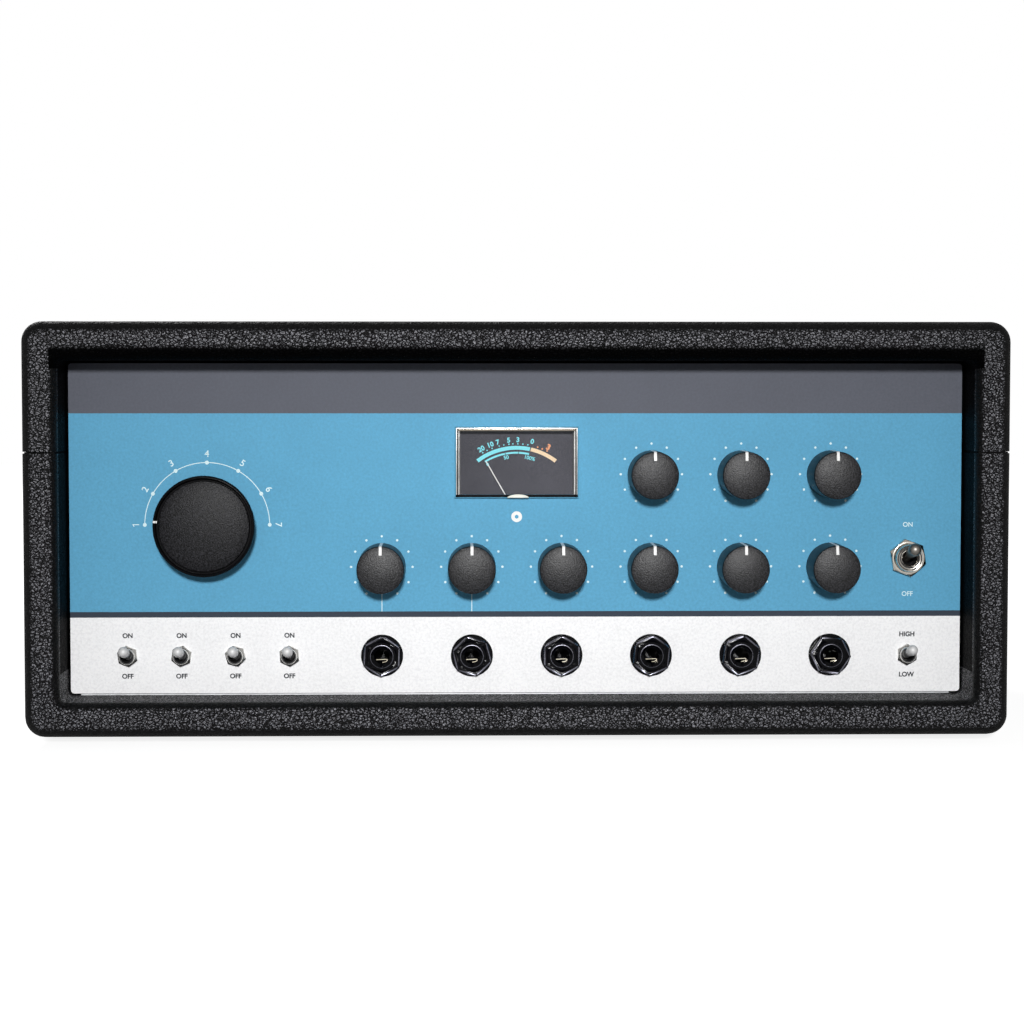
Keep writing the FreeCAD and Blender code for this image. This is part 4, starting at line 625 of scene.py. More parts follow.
def makeStage(look):
    deselect()
    bpy.ops.mesh.primitive_plane_add(size=look["floorSize"], location=(0, 0, 0))
    floor = newPiece("studioFloor")
    material = bpy.data.materials.new("studioFloorPaper")
    material.use_nodes = True
    tree = material.node_tree
    tree.nodes.clear()
    paper = addNode(tree, "ShaderNodeBsdfDiffuse", Color=(*grey(look["paper"]), 1))
    # a little less glow round the object, where its shadow lies
    spot = tree.nodes.new("ShaderNodeTexCoord").outputs["Object"]
    far = addNode(tree, "ShaderNodeVectorMath", {"operation": "LENGTH"}, (spot,)).outputs["Value"]
    shine = greys(tree, far, *look["glow"])
    glow = addNode(tree, "ShaderNodeEmission", Color=(1, 1, 1, 1),
                   Strength=times(tree, seenRays(tree), shine))
    both = addNode(tree, "ShaderNodeAddShader", values=(paper.outputs[0], glow.outputs[0]))
    out = tree.nodes.new("ShaderNodeOutputMaterial")
    tree.links.new(both.outputs[0], out.inputs[0])
    floor.data.materials.append(material)
    world = bpy.data.worlds.new("studioAir")
    bpy.context.scene.world = world
    world.use_nodes = True
    tree = world.node_tree
    air = tree.nodes["Background"]
    strength = sums(tree, "ADD", times(tree, seenRays(tree), 1 - look["fill"]), look["fill"])
    tree.links.new(strength, air.inputs["Strength"])
    air.inputs["Color"].default_value = (1, 1, 1, 1)
    lampAt("keyLight", look["keyPlace"], look["keySize"], look["keyPower"], (0, -0.11, 0.1),
           look["keySpread"])
    lampAt("backLight", look["backPlace"], look["backSize"], look["backPower"], (0, 0.1, 0.1))
    bpy.context.scene.view_settings.view_transform = "Standard"


cameraLook = {"place": (-0.0243, -1.0835, 0.1438), "down": 2.7915, "right": 1.3089,  # turned in degrees
              "lens": 80.36, "sensor": 36}


def makeCamera(look):
    bpy.ops.object.camera_add(location=look["place"],
                              rotation=(math.radians(90 - look["down"]), 0, math.radians(-look["right"])))
    camera = bpy.context.object
    camera.data.lens = look["lens"]
    camera.data.sensor_width = look["sensor"]
    bpy.context.scene.camera = camera


makeStage(stageLook)
makeCamera(cameraLook)
print("stage, light and camera ready")

# felt strip in the seam under the lid, open where the hinges sit
# and set back at the rear, clear of the lid's back wall as it swings down
seamStrip = {"inset": 1.4, "wide": 12.2, "thick": 0.66, "backIn": 9.0, "frontIn": 2.0,
             "hinge": (103.5, 156.5), "spare": 2.0}


def makeSeamStrip(look):
    low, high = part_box("lower_case")
    z = high.z
    outX, frontY, backY = high.x - mm(look["inset"]), low.y + mm(look["frontIn"]), high.y - mm(look["backIn"])
    inX, inY = outX - mm(look["wide"]), high.y - mm(look["inset"]) - mm(look["wide"])
    outline = [(-outX, frontY, z), (-outX, backY, z), (outX, backY, z), (outX, frontY, z),
               (inX, frontY, z), (inX, inY, z), (-inX, inY, z), (-inX, frontY, z)]
    strip = prism("seam_felt", outline, (0, 0, mm(look["thick"])))
    spare = mm(look["spare"])
    for side in (-1, 1):
        left, right = sorted(side * mm(reach) for reach in look["hinge"])
        cutBy(strip, box("gap", (left, inY - spare, z - spare), (right, backY + spare, z + spare)))
    dress(strip, "seamFelt")


makeSeamStrip(seamStrip)
print("seam strip done")

smallKnob = {
    "names": ["guitar_volume_knob", "line_volume_knob", "reverb_decay_knob", "reverb_volume_knob",
              "speed_knob", "echo_volume_knob", "bass_knob", "treble_knob", "feedback_knob"],
    # distance from the axis and height off the panel, from the shaft's hole round the skin to the crown
    "hollow": [(0, 18.9), (3.0, 18.9), (3.0, 5.6), (7.6, 5.6), (7.6, 0.8)],
    "skin": [(10.0, 0.8), (10.2, 1.0), (9.98, 19.1), (9.92, 19.45), (9.74, 19.72), (9.4, 19.87), (8.0, 20.17),
             (6.0, 20.5), (4.0, 20.73), (2.0, 20.86), (0, 20.9)],
    "capFrom": 19.6,
    # the mark's line over the edge of the cap, after the first points of the skin
    "skinPoints": 6, "markEnd": [(9.3, 19.9), (6.2, 20.47)],
    "markWidth": 1.2, "markProud": 0.05, "markDeep": 0.6,
}
modeKnob = {
    "hollow": [(0, 13.4), (3.0, 13.4), (3.0, 5.6), (7.5, 5.6), (7.5, 7.3), (16.5, 7.3), (16.5, 0.8)],
    "skin": [(19.0, 0.8), (19.25, 1.0), (19.7, 5.0), (20.5, 9.0), (21.15, 12.0), (21.3, 13.4), (21.25, 14.6),
             (21.05, 15.05), (20.75, 15.25), (20.45, 15.28), (20.2, 15.15), (20.05, 14.8), (20.0, 12.0)],
    "cap": [(19.15, 12.0), (19.1, 13.3), (18.9, 13.6), (18.5, 13.75), (14.0, 14.42), (9.0, 14.92),
            (4.5, 15.16), (0, 15.24)],
    "capFrom": 13.5, "capRadius": 19.2,
    "markWidth": 0.9, "markReach": 20.1, "markTurn": 5.6, "markProud": 0.06, "markDeep": 0.7,
}


def knobPlace(name):
    middle = middleOf(name)
    return Vector((middle.x, panelFace, middle.z))


def markOver(name, centre, skin, reachIn, look, towards):
    # white line that starts on the cap, turns over the edge and runs down the side
    width, proud, deep = look["markWidth"], look["markProud"], look["markDeep"]
    outer = [(reachIn, skin[-1][1] + proud)] + [(r + proud, h + proud) for r, h in reversed(skin)]
    floor = skin[-1][1] - deep
    inner = [(skin[0][0] - deep, skin[0][1]), (skin[-1][0] - deep, floor), (reachIn, floor)]
    across = Vector((0, 1, 0)).cross(Vector(towards)) * mm(width / 2)
    points = [centre + Vector(towards) * mm(r) + mm(0, -h, 0) - across for r, h in outer + inner]
    return prism(name, points, across * 2)


def makeKnobs(small, mode):
    # the other small knobs are copies of the first, each riding on and standing for its own node
    first = small["names"][0]
    start = knobPlace(first)
    cap = turned(first + "_body", [(r, -h) for r, h in small["hollow"] + small["skin"]], start, steps=72,
                 degrees=28)
    edge = small["skin"][:small["skinPoints"]] + small["markEnd"]
    line = markOver(first + "_mark", start, edge, edge[-1][0], small, (0, 0, 1))
    for name in small["names"]:
        offset = knobPlace(name) - start
        body = cap if name == first else copyBy(cap, name + "_body", offset)
        mark = line if name == first else copyBy(line, name + "_mark", offset)
        dress(body, "knobCharcoal", name, [name])
        secondFinish(body, "knobSide", lambda face: panelFace - face.center.y < mm(small["capFrom"]))
        dress(mark, "markWhite", name)
    centre = knobPlace("mode_knob")
    profile = [(r, -h) for r, h in mode["hollow"] + mode["skin"] + mode["cap"]]
    knob = turned("mode_knob_body", profile, centre, steps=128, degrees=28)
    lean = math.radians(mode["markTurn"])
    mark = markOver("mode_knob_mark", centre, mode["skin"][4:-2], mode["markReach"], mode,
                    (-math.cos(lean), 0, math.sin(lean)))
    dress(knob, "modeCharcoal", "mode_knob", ["mode_knob"])
    secondFinish(knob, "knobSide", lambda face: panelFace - face.center.y < mm(mode["capFrom"]) or
                 math.hypot(face.center.x - centre.x, face.center.z - centre.z) > mm(mode["capRadius"]))
    dress(mark, "markWhite", "mode_knob")


makeKnobs(smallKnob, modeKnob)
print("knobs done")

printing = {
    "lift": 0.04, "dotRadius": 0.5, "dotRing": 13.05, "lineWidth": 0.36, "lineTop": 10.0, "stripeTop": 54.2,
    "lined": ("guitar_volume_knob", "line_volume_knob"),
    "modeRing": 26.4, "modeDot": 0.82, "modeNumberRing": 30.2, "modeNumberSize": 3.9, "smallText": 2.75,
    "switchNames": {"direct_lever": ("ON", "OFF"), "motor_lever": ("ON", "OFF"),
                    "layering_lever": ("ON", "OFF"), "echo_lever": ("ON", "OFF"),
                    "output_level_lever": ("HIGH", "LOW")},
    "switchHigh": 44.1, "switchLow": 26.8, "powerHigh": 91.0, "powerLow": 61.4,
    "weight": 0.05, "darkWeight": 0.1,
    # outline of the first numeral, across and up in millimetres
    "one": [(-0.12, -1.4), (0.26, -1.4), (0.26, 1.4), (-0.06, 1.4), (-0.8, 0.85), (-0.66, 0.56),
            (-0.12, 0.9)],
}


def makePrinting(look):
    y = panelFace - mm(look["lift"])
    half = look["lineWidth"] / 2
    white, dark = [], []

    def word(text, x, height, weight):
        return writing("word", text, look["smallText"], (x, y, mm(height)), 0, weight)

    dot = dotAt("dot", look["dotRadius"], (0, 0, 0))
    for name in smallKnob["names"]:
        middle = middleOf(name)
        centre = Vector((middle.x, y, middle.z))
        white += [copyBy(dot, "dot", around(centre, look["dotRing"], -150 + 30 * step)) for step in range(11)]
        if name in look["lined"]:
            white.append(flatStrip("line", (middle.x - mm(half), y, mm(look["stripeTop"])),
                                   (middle.x + mm(half), y, middle.z - mm(look["lineTop"]))))
    bpy.data.objects.remove(dot)
    mode = middleOf("mode_knob")
    centre = Vector((mode.x, y, mode.z))
    white.append(flatArc("arc", centre, look["modeRing"] - half, look["modeRing"] + half, -90, 90, 90))
    for step in range(7):
        angle = -90 + 30 * step
        white.append(dotAt("dot", look["modeDot"], around(centre, look["modeRing"], angle, -0.01)))
        if step:
            white.append(writing("number", str(step + 1), look["modeNumberSize"],
                                 around(centre, look["modeNumberRing"], angle), angle, look["weight"]))
    one = flatPatch("number", [mm(x, 0, z) for x, z in look["one"]])
    one.data.transform(Matrix.Translation(around(centre, look["modeNumberRing"], -90)) @
                       Matrix.Rotation(math.radians(-90), 4, "Y"))
    white.append(one)
    for name, (high, low) in look["switchNames"].items():
        x = middleOf(name).x
        dark += [word(high, x, look["switchHigh"], look["darkWeight"]),
                 word(low, x, look["switchLow"], look["darkWeight"])]
    x = middleOf("power_lever").x
    white += [word("ON", x, look["powerHigh"], look["weight"]),
              word("OFF", x, look["powerLow"], look["weight"])]
    dress(joined("panel_white_print", white), "whiteInk")
    dress(joined("panel_dark_print", dark), "darkInk")


makePrinting(printing)
print("panel printing done")

meterLook = {
    "dialBehind": 1.6, "lift": 0.05, "arcRise": 1.8,
    "mainArc": (26.6, 28.2), "thinArc": (24.9, 25.7), "dots": 29.1, "dotRadius": 0.3,
    "cyanArc": (-37.3, 12.1), "peachArc": (12.9, 37.6),
    "thinParts": [(-32.0, -11.1), (-10.6, 1.7), (2.2, 12.2)],
    "cyanDots": [-29.6, -25.4, -20.9, -14.7, -10.7, -6.3, -3.0, 1.2, 5.4, 9.6],
    "orangeDots": [18.1, 22.2, 26.6],
    "numbers": [("20", -29.1), ("10", -20.8), ("7", -15.0), ("5", -6.3), ("3", 1.1), ("0", 12.6)],
    "numberRing": 30.85, "numberSize": 2.85, "numberWeight": 0.1,
    "redNumber": ("3", 26.2), "redSize": 3.3, "redWeight": 0.17, "redDot": 1.2,
    "lowNumbers": [("0", -31.2), ("50", -10.6), ("100%", 14.1)],
    "lowRing": 23.75, "lowSize": 2.2, "lowWeight": 0.05,
    "needleWidth": (0.42, 0.55), "needleShift": 0.5, "needleReach": 27.2, "needleTail": 4.5,
    "needleThick": 0.25,
    "hub": [(0.8, 0), (1.9, 0), (2.2, -0.3), (2.3, -2.6), (0.8, -2.6), (0.8, 0)],
    # half-round stud on the foot of the bezel: half width and height, then its place
    "stud": (4.6, 1.5), "studShift": 0.5, "studUp": 0.1, "studSunk": 0.3, "studDeep": 0.55,
    # steps of the bezel's section from its outer edge: how far in, and how far off the panel
    "outerHeight": 1.9,
    "bezelSteps": [(0.45, 3.1), (0.15, 3.35), (0.45, 3.4), (0.12, 2.9), (0.12, 3.0), (0.32, 2.75)],
    "grow": (0.4, 0.25), "bar": 2.0, "foot": 1.3,
    # painted shade and dark reflection lines, and the painted warm reflection band: how far in each starts
    # and stops, and where its ends lie
    "sideLine": (1.0, 1.45), "sideEnds": (0.3, 0.9), "footLine": (0.4, 1.45), "footEnd": 0.4,
    "topLine": (1.2, 1.9), "topEnd": 1.3, "lineProud": 0.03, "lineThick": 0.8,
}


def makeMeterDial(look):
    pivot = pivotOf("needle_swing")
    dialFace = panelBack + mm(look["dialBehind"])
    centre = Vector((pivot.x, dialFace - mm(look["lift"]), pivot.z + mm(look["arcRise"])))

    def numeral(text, angle, ring, size, weight):
        return writing("number", text, look[size], around(centre, look[ring], angle), angle, look[weight])

    def dots(angles, radius):
        return [dotAt("dot", radius, around(centre, look["dots"], angle)) for angle in angles]

    cyan = [flatArc("arc", centre, *look["mainArc"], *look["cyanArc"], 60)]
    cyan += [flatArc("arc", centre, *look["thinArc"], start, stop, 24) for start, stop in look["thinParts"]]
    cyan += dots(look["cyanDots"], look["dotRadius"])
    cyan += [numeral(*pair, "numberRing", "numberSize", "numberWeight") for pair in look["numbers"]]
    cyan += [numeral(*pair, "lowRing", "lowSize", "lowWeight") for pair in look["lowNumbers"]]
    orange = dots(look["orangeDots"], look["dotRadius"] * look["redDot"])
    orange.append(numeral(*look["redNumber"], "numberRing", "redSize", "redWeight"))
    peach = flatArc("meter_peach_arc", centre, *look["mainArc"], *look["peachArc"], 32)
    dress(joined("meter_cyan_print", cyan), "cyanInk")
    dress(joined("meter_orange_print", orange), "orangeInk")
    dress(peach, "peachInk")
    # tapered needle with a round hub, at the place and lean of the plain one
    low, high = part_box("meter_needle")
    root = Vector((pivot.x, low.y, pivot.z))
    lean = -math.degrees(math.atan2(pivot.x - low.x, high.z - pivot.z))
    tip, base = look["needleWidth"]
    shift = mm(look["needleShift"], 0, 0)
    side = around((0, 0, 0), 0.5, lean + 90)
    end, start = [around(root, reach, lean) + shift for reach in (look["needleReach"], -look["needleTail"])]
    blade = prism("blade", [end - side * tip, end + side * tip, start + side * base, start - side * base],
                  mm(0, look["needleThick"], 0), 0.04, 1)
    hub = turned("hub", look["hub"], root, steps=40)
    dress(joined("meter_needle_blade", [blade, hub]), "needleWhite", "meter_needle",
          ["meter_needle"])


def makeBezel(look):
    low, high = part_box("meter_bezel")
    grow = mm(look["grow"][0], 0, look["grow"][1])
    low, high = low - grow, high + grow
    bezel = box("meter_bezel_frame", (low.x, high.y - mm(look["outerHeight"]), low.z), high)
    startEdit(bezel)
    pick(bezel, "FACE", lambda face: face.normal.y < -0.9)
    reached, level = 0.0, look["outerHeight"]
    for inward, off in look["bezelSteps"]:
        bpy.ops.mesh.inset(thickness=mm(inward), depth=mm(off - level))
        reached, level = reached + inward, off
    bpy.ops.mesh.inset(thickness=mm(look["bar"] - reached), depth=0)
    bpy.ops.mesh.delete(type="FACE")
    pick(bezel, "FACE", lambda face: face.normal.y > 0.9)
    bpy.ops.mesh.inset(thickness=mm(look["bar"]), depth=0)
    bpy.ops.mesh.delete(type="FACE")
    pick(bezel, "EDGE", lambda edge: edge.is_boundary)
    bpy.ops.mesh.bridge_edge_loops()
    # the foot bar is thinner than the others
    footTop = low.z + mm(look["bar"]) + 0.0001
    pick(bezel, "VERT", lambda vert: vert.co.z < footTop)
    bpy.ops.transform.resize(value=(1, 1, look["foot"] / look["bar"]), center_override=low)
    bpy.ops.mesh.select_all(action="SELECT")
    bpy.ops.mesh.normals_make_consistent(inside=False)
    endEdit()
    bevel(bezel, 0.06, 1, 15)
    smooth(bezel, 10)
    dress(bezel, "brightChrome", replaced=["meter_bezel"])
    # painted shade and dark reflection lines sunk along the sides and the foot, a painted warm reflection
    # band along the top, and a stud on the foot
    y = high.y - mm(look["bezelSteps"][2][1] + look["lineProud"])

    def rod(name, left, right, foot, top, edge):
        return box(name, (left, y, foot), (right, y + mm(look["lineThick"]), top), edge, 1)

    near, far = [mm(reach) for reach in look["sideLine"]]
    foot, top = low.z + mm(look["sideEnds"][0]), high.z - mm(look["sideEnds"][1])
    shadeLines = [rod("line", low.x + near, low.x + far, foot, top, 0.05),
             rod("line", high.x - far, high.x - near, foot, top, 0.05)]
    near, far = [mm(reach) for reach in look["footLine"]]
    end = mm(look["footEnd"])
    shadeLines.append(rod("line", low.x + end, high.x - end, low.z + near, low.z + far, 0.05))
    dress(joined("meter_bezel_lines", shadeLines), "lineBlack")
    near, far = [mm(reach) for reach in look["topLine"]]
    end = mm(look["topEnd"])
    reflectionBand = rod("meter_bezel_band", low.x + end, high.x - end, high.z - far, high.z - near, 0.08)
    dress(reflectionBand, "warmChrome")
    half, tall = look["stud"]
    middle = Vector(((low.x + high.x) / 2, y, low.z))
    middle += mm(look["studShift"], look["studSunk"], look["studUp"])
    arc = [math.radians(angle) for angle in range(0, 181, 10)]
    rim = [middle + mm(half * math.cos(angle), 0, tall * math.sin(angle)) for angle in arc]
    dress(prism("meter_zero_stud", rim, mm(0, -look["studDeep"], 0), 0.2), "creamPlastic")


makeMeterDial(meterLook)
makeBezel(meterLook)
print("level meter done")

jackLook = {
    "turns": (-3, 14, 0, -6, -8, 26), "across": 15.3, "thick": 3.0, "flangeRadius": 8.95, "flange": 1.0,
    "bush": 5.9, "clear": 0.03, "mouth": 4.7, "proud": 5.0,
    "edge": 0.12, "rim": (0.6, 0.195), "turnedOff": 8.15,
    # the bush's rounded rim: out from the mouth and off its proud end
    "lip": [(0.3, 0.04), (0.22, 0.18), (0.04, 0.2), (-0.1, 0.06), (-0.3, -0.9), (-0.5, -1.3), (-0.5, -1.5),
            (0.1, -1.5)],
    # faces of the nut's turned edge that get a painted glint, and how far off the bush's end the painted
    # glint on its rim starts
    "edgeTurn": (0.9, 0.985), "rimFrom": 0.06,
    # the contact's leaf, across and up from the jack's axis
    "leaf": [(-2.4, -1.45), (0.4, -1.32), (1.9, -1.25), (2.35, -1.45), (2.4, -1.85), (2.0, -2.35),
             (1.2, -2.7), (0.2, -2.8)],
    "leafFront": 2.2, "leafWide": 1.0, "leafThick": 0.24,
}
nutLook = {
    # the small lever from the ball in its pivot to the tip: radius and distance from the pivot
    "bat": [(0, -2.0), (1.3, -1.5), (2.0, 0), (1.5, 1.4), (1.25, 2.4), (1.3, 5.4), (1.7, 7.6), (2.1, 11.0),
            (2.25, 13.6), (2.25, 14.4), (2.05, 15.3), (1.5, 16.05), (0.8, 16.42), (0, 16.55)],
    "tipRadius": 1.8,
    "mini": {"across": 8.0, "thick": 2.0, "bore": 3.2, "turns": (8, -8, 15, 4, 0)},
    "power": {"across": 14.3, "thick": 2.6, "bore": 5.7, "turns": (10,)},
    "miniBush": {"radius": 3.15, "from": 2.0, "proud": 4.2, "pitch": 0.5, "mouth": 2.72,
                 "crest": [(3.05, 4.05), (2.93, 4.22), (2.82, 4.12)]},
    "powerBush": {"radius": 5.65, "from": 2.6, "proud": 5.4, "pitch": 0.8, "mouth": 0,
                  "crest": [(5.67, 5.3), (5.52, 5.57), (5.25, 5.5), (5.14, 5.3), (5.12, 4.7), (4.86, 4.7),
                            (4.82, 5.3), (4.6, 5.56), (4.32, 5.5), (4.14, 5.2), (4.02, 4.7), (3.9, 4.35),
                            (3.72, 4.3), (3.6, 4.62), (3.42, 4.68), (3.3, 4.5), (3.28, 3.6)]},
}


def hexNut(name, across, thick, bore, base=0.0, edge=0.16, rim=None, turnedOff=0.0):
    # stands on z 0 at the origin, its outer corners turned off to a round face
    corner = across / math.sqrt(3)
    deselect()
    rimWide, rimHigh = rim or (0, 0)
    turnedOff = turnedOff or across / 2 - 0.35
    top = base + thick
    bpy.ops.mesh.primitive_cylinder_add(vertices=6, radius=mm(corner), depth=mm(thick - rimHigh),
                                        location=(0, 0, mm(base + (thick - rimHigh) / 2)))
    nut = newPiece(name)
    settle(nut)
    if rim:
        startEdit(nut)
        pick(nut, "FACE", lambda face: face.normal.z > 0.9)
        bpy.ops.mesh.inset(thickness=mm(rimWide), depth=mm(rimHigh))
        endEdit()
    wide = corner + 1
    cone = [(0, base - 1), (wide, base - 1), (wide, top - thick * 0.62), (turnedOff, top), (0, top)]
    cutBy(nut, turnedUp("cone", cone, 96), "INTERSECT")
    cutBy(nut, turnedUp("bore", [(0, -2), (bore, -2), (bore, top + 2), (0, top + 2)], 64))
    bevel(nut, edge, 2, 20)
    smooth(nut, 30)
    return nut


def ringBush(name, look):
    # threaded sleeve over a switch's bush, with a rounded mouth
    radius, height, proud = look["radius"], look["from"] + 0.1, look["proud"]
    root, crest = radius + 0.02, radius + 0.2
    points = [(root, look["from"])]
    while height + look["pitch"] < proud:
        points += [(root, height), (crest, height + look["pitch"] * 0.45)]
        height += look["pitch"]
    points += [(root, height)] + look["crest"]
    if look["mouth"]:
        points += [(look["mouth"], proud - 0.5), (look["mouth"], proud - 1.4)]
    points += [(radius - 0.3, look["from"]), points[0]]
    return turnedUp(name, points, 48, 25)


def makeJacks(look):
    low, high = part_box("jack_nuts")
    z = (low.z + high.z) / 2
    bush, outer, flange, proud = look["bush"], look["flangeRadius"], look["flange"], look["proud"]
    skirt = turnedUp("flange", [(bush, 0), (outer, 0), (outer, flange - 0.3), (outer - 0.3, flange),
                                (bush, flange), (bush, 0)], 72)
    snug = bush + look["clear"]
    hexagon = hexNut("jack_nut", look["across"], look["thick"], snug, flange, look["edge"], look["rim"],
                     look["turnedOff"])
    nut = joined("jack_nut", [hexagon, skirt])
    rim = [(snug, -1.2), (snug, -0.4), (bush - 0.4, 0.04)] + [(look["mouth"] + r, h) for r, h in look["lip"]]
    ring = turnedUp("jack_bush_rim", [(r, proud + h) for r, h in rim + rim[:1]], 64, 25)
    spring = contactSpring("jack_contact", look)
    flat, steep = look["edgeTurn"]
    for i, turn in enumerate(look["turns"]):
        x = middleOf(smallKnob["names"][i]).x
        place, number = (x, panelFace, z), "_%d" % (i + 1)
        piece = placed(nut, "jack_nut" + number, standing(place, (0, -1, 0), turn))
        dress(piece, "jackPlastic", replaced=["jack_nuts"])
        # painted glint: the nut's turned edge and the bush's rim get a grey metal finish
        secondFinish(piece, "jackEdge", lambda face: flat < -face.normal.y < steep)
        piece = placed(ring, "jack_bush_rim" + number, standing(place, (0, -1, 0)))
        dress(piece, "jackPlastic")
        secondFinish(piece, "jackRim", lambda face: panelFace - face.center.y > mm(proud + look["rimFrom"]))
        dress(copyBy(spring, "jack_contact" + number, (x, 0, z)), "springBrass",
              replaced=["jack_contacts"])
    for piece in (nut, ring, spring):
        bpy.data.objects.remove(piece)


def contactSpring(name, look):
    # curled leaf at the back of a jack's mouth, drawn as a line, drawn out sideways and thickened
    front = Vector((0, panelFace - mm(look["leafFront"]), 0))
    piece = chain(name, [mm(x, 0, z) + front for x, z in look["leaf"]])
    bpy.ops.mesh.extrude_region_move(TRANSFORM_OT_translate={"value": mm(0, look["leafWide"], 0)})
    endEdit()
    modifier = piece.modifiers.new("Solidify", "SOLIDIFY")
    modifier.thickness = mm(look["leafThick"])
    applyAll(piece)
    settle(piece)
    smooth(piece, 50)
    return piece


def makeSwitchHardware(look):
    minis = ["direct_lever", "motor_lever", "layering_lever", "echo_lever", "output_level_lever"]
    for size, bushLook, levers, finish in ((look["mini"], look["miniBush"], minis, "miniNickel"),
                                           (look["power"], look["powerBush"], ["power_lever"], "nutNickel")):
        nut = hexNut("nut", size["across"], size["thick"], size["bore"])
        bush = ringBush("bush", bushLook)
        for lever, turn in zip(levers, size["turns"]):
            pivot = pivotOf(lever.replace("_lever", "_throw"))
            place = (pivot.x, panelFace, pivot.z)
            piece = placed(nut, lever.replace("lever", "nut"), standing(place, (0, -1, 0), turn))
            dress(piece, finish, replaced=["switch_nuts"])
            piece = placed(bush, lever.replace("lever", "bush"), standing(place, (0, -1, 0)))
            dress(piece, finish)
        bpy.data.objects.remove(nut)
        bpy.data.objects.remove(bush)
    # fuller levers for the small switches, leaning as the plain ones do
    tip = mm(look["tipRadius"])
    for lever in minis:
        pivot = pivotOf(lever.replace("_lever", "_throw"))
        low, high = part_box(lever)
        lean = Vector((pivot.x, low.y + tip, high.z - tip)) - pivot
        bat = turned(lever + "_bat", look["bat"], pivot, lean, 32, 60)
        dress(bat, "leverMetal", lever, [lever])


makeJacks(jackLook)
makeSwitchHardware(nutLook)
print("jack and switch hardware done")

screwLook = {
    "pan": {"radius": 2.9, "high": 1.9, "slot": 3.4, "slotWide": 0.75, "slotDeep": 1.0, "shank": 1.4},
    "foot": {"radius": 3.6, "high": 1.7, "slot": 4.0, "slotWide": 0.9, "slotDeep": 1.0, "shank": 1.9},
    "tiny": {"radius": 1.6, "high": 1.0, "slot": 1.9, "slotWide": 0.45, "slotDeep": 0.55, "shank": 0.8},
    # how far in from their part's edges the screws sit, and their free places in millimetres
    "rearIn": 4.0, "pillarIn": (4.6, 4.0), "footIn": 11.0, "footSunk": 2.2, "flangeIn": 3.5,
    "headShare": (0.144, 0.375, 0.6, 0.825), "coverAt": (-160.0, -55.0, 55.0), "coverThick": 1.2,
    "guides": [(-155.25, -41.05), (155.0, -41.05), (155.0, 94.25)],
}


def screwHead(name, look):
    # domed head with a cross recess, standing on z 0 at the origin
    r, h, shank = look["radius"], look["high"], look["shank"]
    dome = [(r * across, h * up) for across, up in
            ((0.97, 0), (1.0, 0.15), (0.95, 0.5), (0.8, 0.78), (0.5, 0.95), (0, 1.0))]
    screw = turnedUp(name, [(0, -0.5), (shank, -0.5), (shank, 0)] + dome, 32, 30)
    long, wide = mm(look["slot"] / 2), mm(look["slotWide"] / 2)
    low, high = mm(h - look["slotDeep"]), mm(h + 1)
    for half in (Vector((long, wide, 0)), Vector((wide, long, 0))):
        cutBy(screw, box("recess", (-half.x, -half.y, low), (half.x, half.y, high)))
    smooth(screw, 30)
    return screw


def makeScrews(name, kind, places, turns, axis, finish="platedSteel"):
    # one joined piece of screws at their places in metres, each with its own turn
    screw = screwHead("screw", screwLook[kind])
    copies = [placed(screw, "screw", standing(place, axis, turn)) for place, turn in zip(places, turns)]
    bpy.data.objects.remove(screw)
    dress(joined(name, copies), finish)


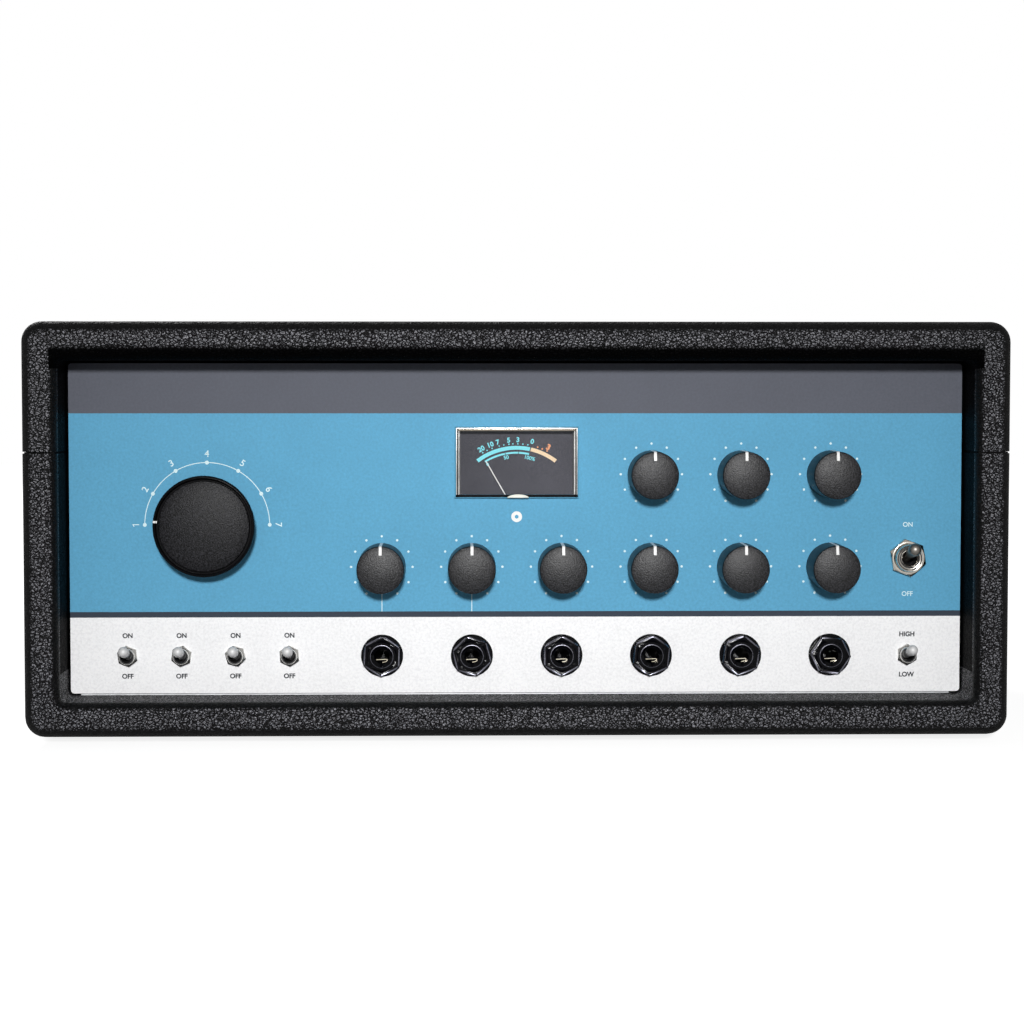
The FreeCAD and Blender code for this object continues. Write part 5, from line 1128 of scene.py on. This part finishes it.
def allScrews(look):
    up, back, down = (0, 0, 1), (0, 1, 0), (0, 0, -1)
    low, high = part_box("rear_panel")
    edge = mm(look["rearIn"])
    places = [(x, high.y, z) for x in (low.x + edge, 0, high.x - edge) for z in (low.z + edge, high.z - edge)]
    makeScrews("rear_panel_screws", "pan", places, (20, 70, 55, 45, 90, 20), back, "blackSteel")
    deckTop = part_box("deck_plate")[1].z
    low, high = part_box("deck_pillars")
    left, right = low.x + mm(look["pillarIn"][0]), high.x - mm(look["pillarIn"][0])
    near, far = low.y + mm(look["pillarIn"][1]), high.y - mm(look["pillarIn"][1])
    places = [(x, y, deckTop) for x, y in ((left, near), (right, near), (right, far), (left, far), (0, far))]
    makeScrews("deck_screws", "pan", places, range(15, 200, 40), up)
    low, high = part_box("rubber_feet")
    inward = mm(look["footIn"], look["footIn"], 0)
    low, high, z = low + inward, high - inward, mm(look["footSunk"])
    places = [(x, y, z) for x, y in ((low.x, low.y), (high.x, low.y), (high.x, high.y), (low.x, high.y))]
    makeScrews("foot_screws", "foot", places, range(0, 120, 30), down)
    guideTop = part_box("guide_posts")[1].z
    places = [(mm(x), mm(y), guideTop) for x, y in look["guides"]]
    makeScrews("guide_screws", "tiny", places, (25, 55, 85), up)
    low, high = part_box("head_base")
    places = [(low.x + (high.x - low.x) * share, high.y - mm(look["flangeIn"]), high.z)
              for share in look["headShare"]]
    makeScrews("head_base_screws", "pan", places, (0, 25, 50, 75), up)
    y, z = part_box("control_cover")[1].y - mm(look["flangeIn"]), deckTop + mm(look["coverThick"])
    makeScrews("control_cover_screws", "pan", [(mm(x), y, z) for x in look["coverAt"]], (10, 28, 46), up,
               "blackSteel")


allScrews(screwLook)
print("screws done")

headCap = {"half": 3.9, "from": 2.2, "to": 8.8, "sunk": 0.3, "high": 0.35,
           "pin": 0.55, "pinEdge": (0.25, 0.2), "pinHigh": 1.1, "pinApart": 2.3, "pinBack": 0.8}


def makeHeadCaps(look):
    # resin filling in the top of each head with two solder pins standing in it
    caps, pins = [], []
    low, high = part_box("playback_heads")
    erase = middleOf("erase_head").x
    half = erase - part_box("erase_head")[0].x
    radius, tall, (edge, drop) = look["pin"], look["pinHigh"], look["pinEdge"]
    profile = [(0, 0), (radius, 0), (radius, tall - drop), (radius - edge, tall), (0, tall)]
    for x in (erase, middleOf("record_head").x, low.x + half, (low.x + high.x) / 2, high.x - half):
        caps.append(box("cap", (x - mm(look["half"]), low.y + mm(look["from"]), high.z - mm(look["sunk"])),
                        (x + mm(look["half"]), low.y + mm(look["to"]), high.z + mm(look["high"])), 0.2))
        for side in (-1, 1):
            foot = Vector((x, (low.y + high.y) / 2, high.z)) + mm(side * look["pinApart"], look["pinBack"], 0)
            pins.append(turned("pin", profile, foot, (0, 0, 1), 16))
    dress(joined("head_caps", caps), "headCore")
    dress(joined("head_pins", pins), "springBrass")


makeHeadCaps(headCap)
print("head caps done")
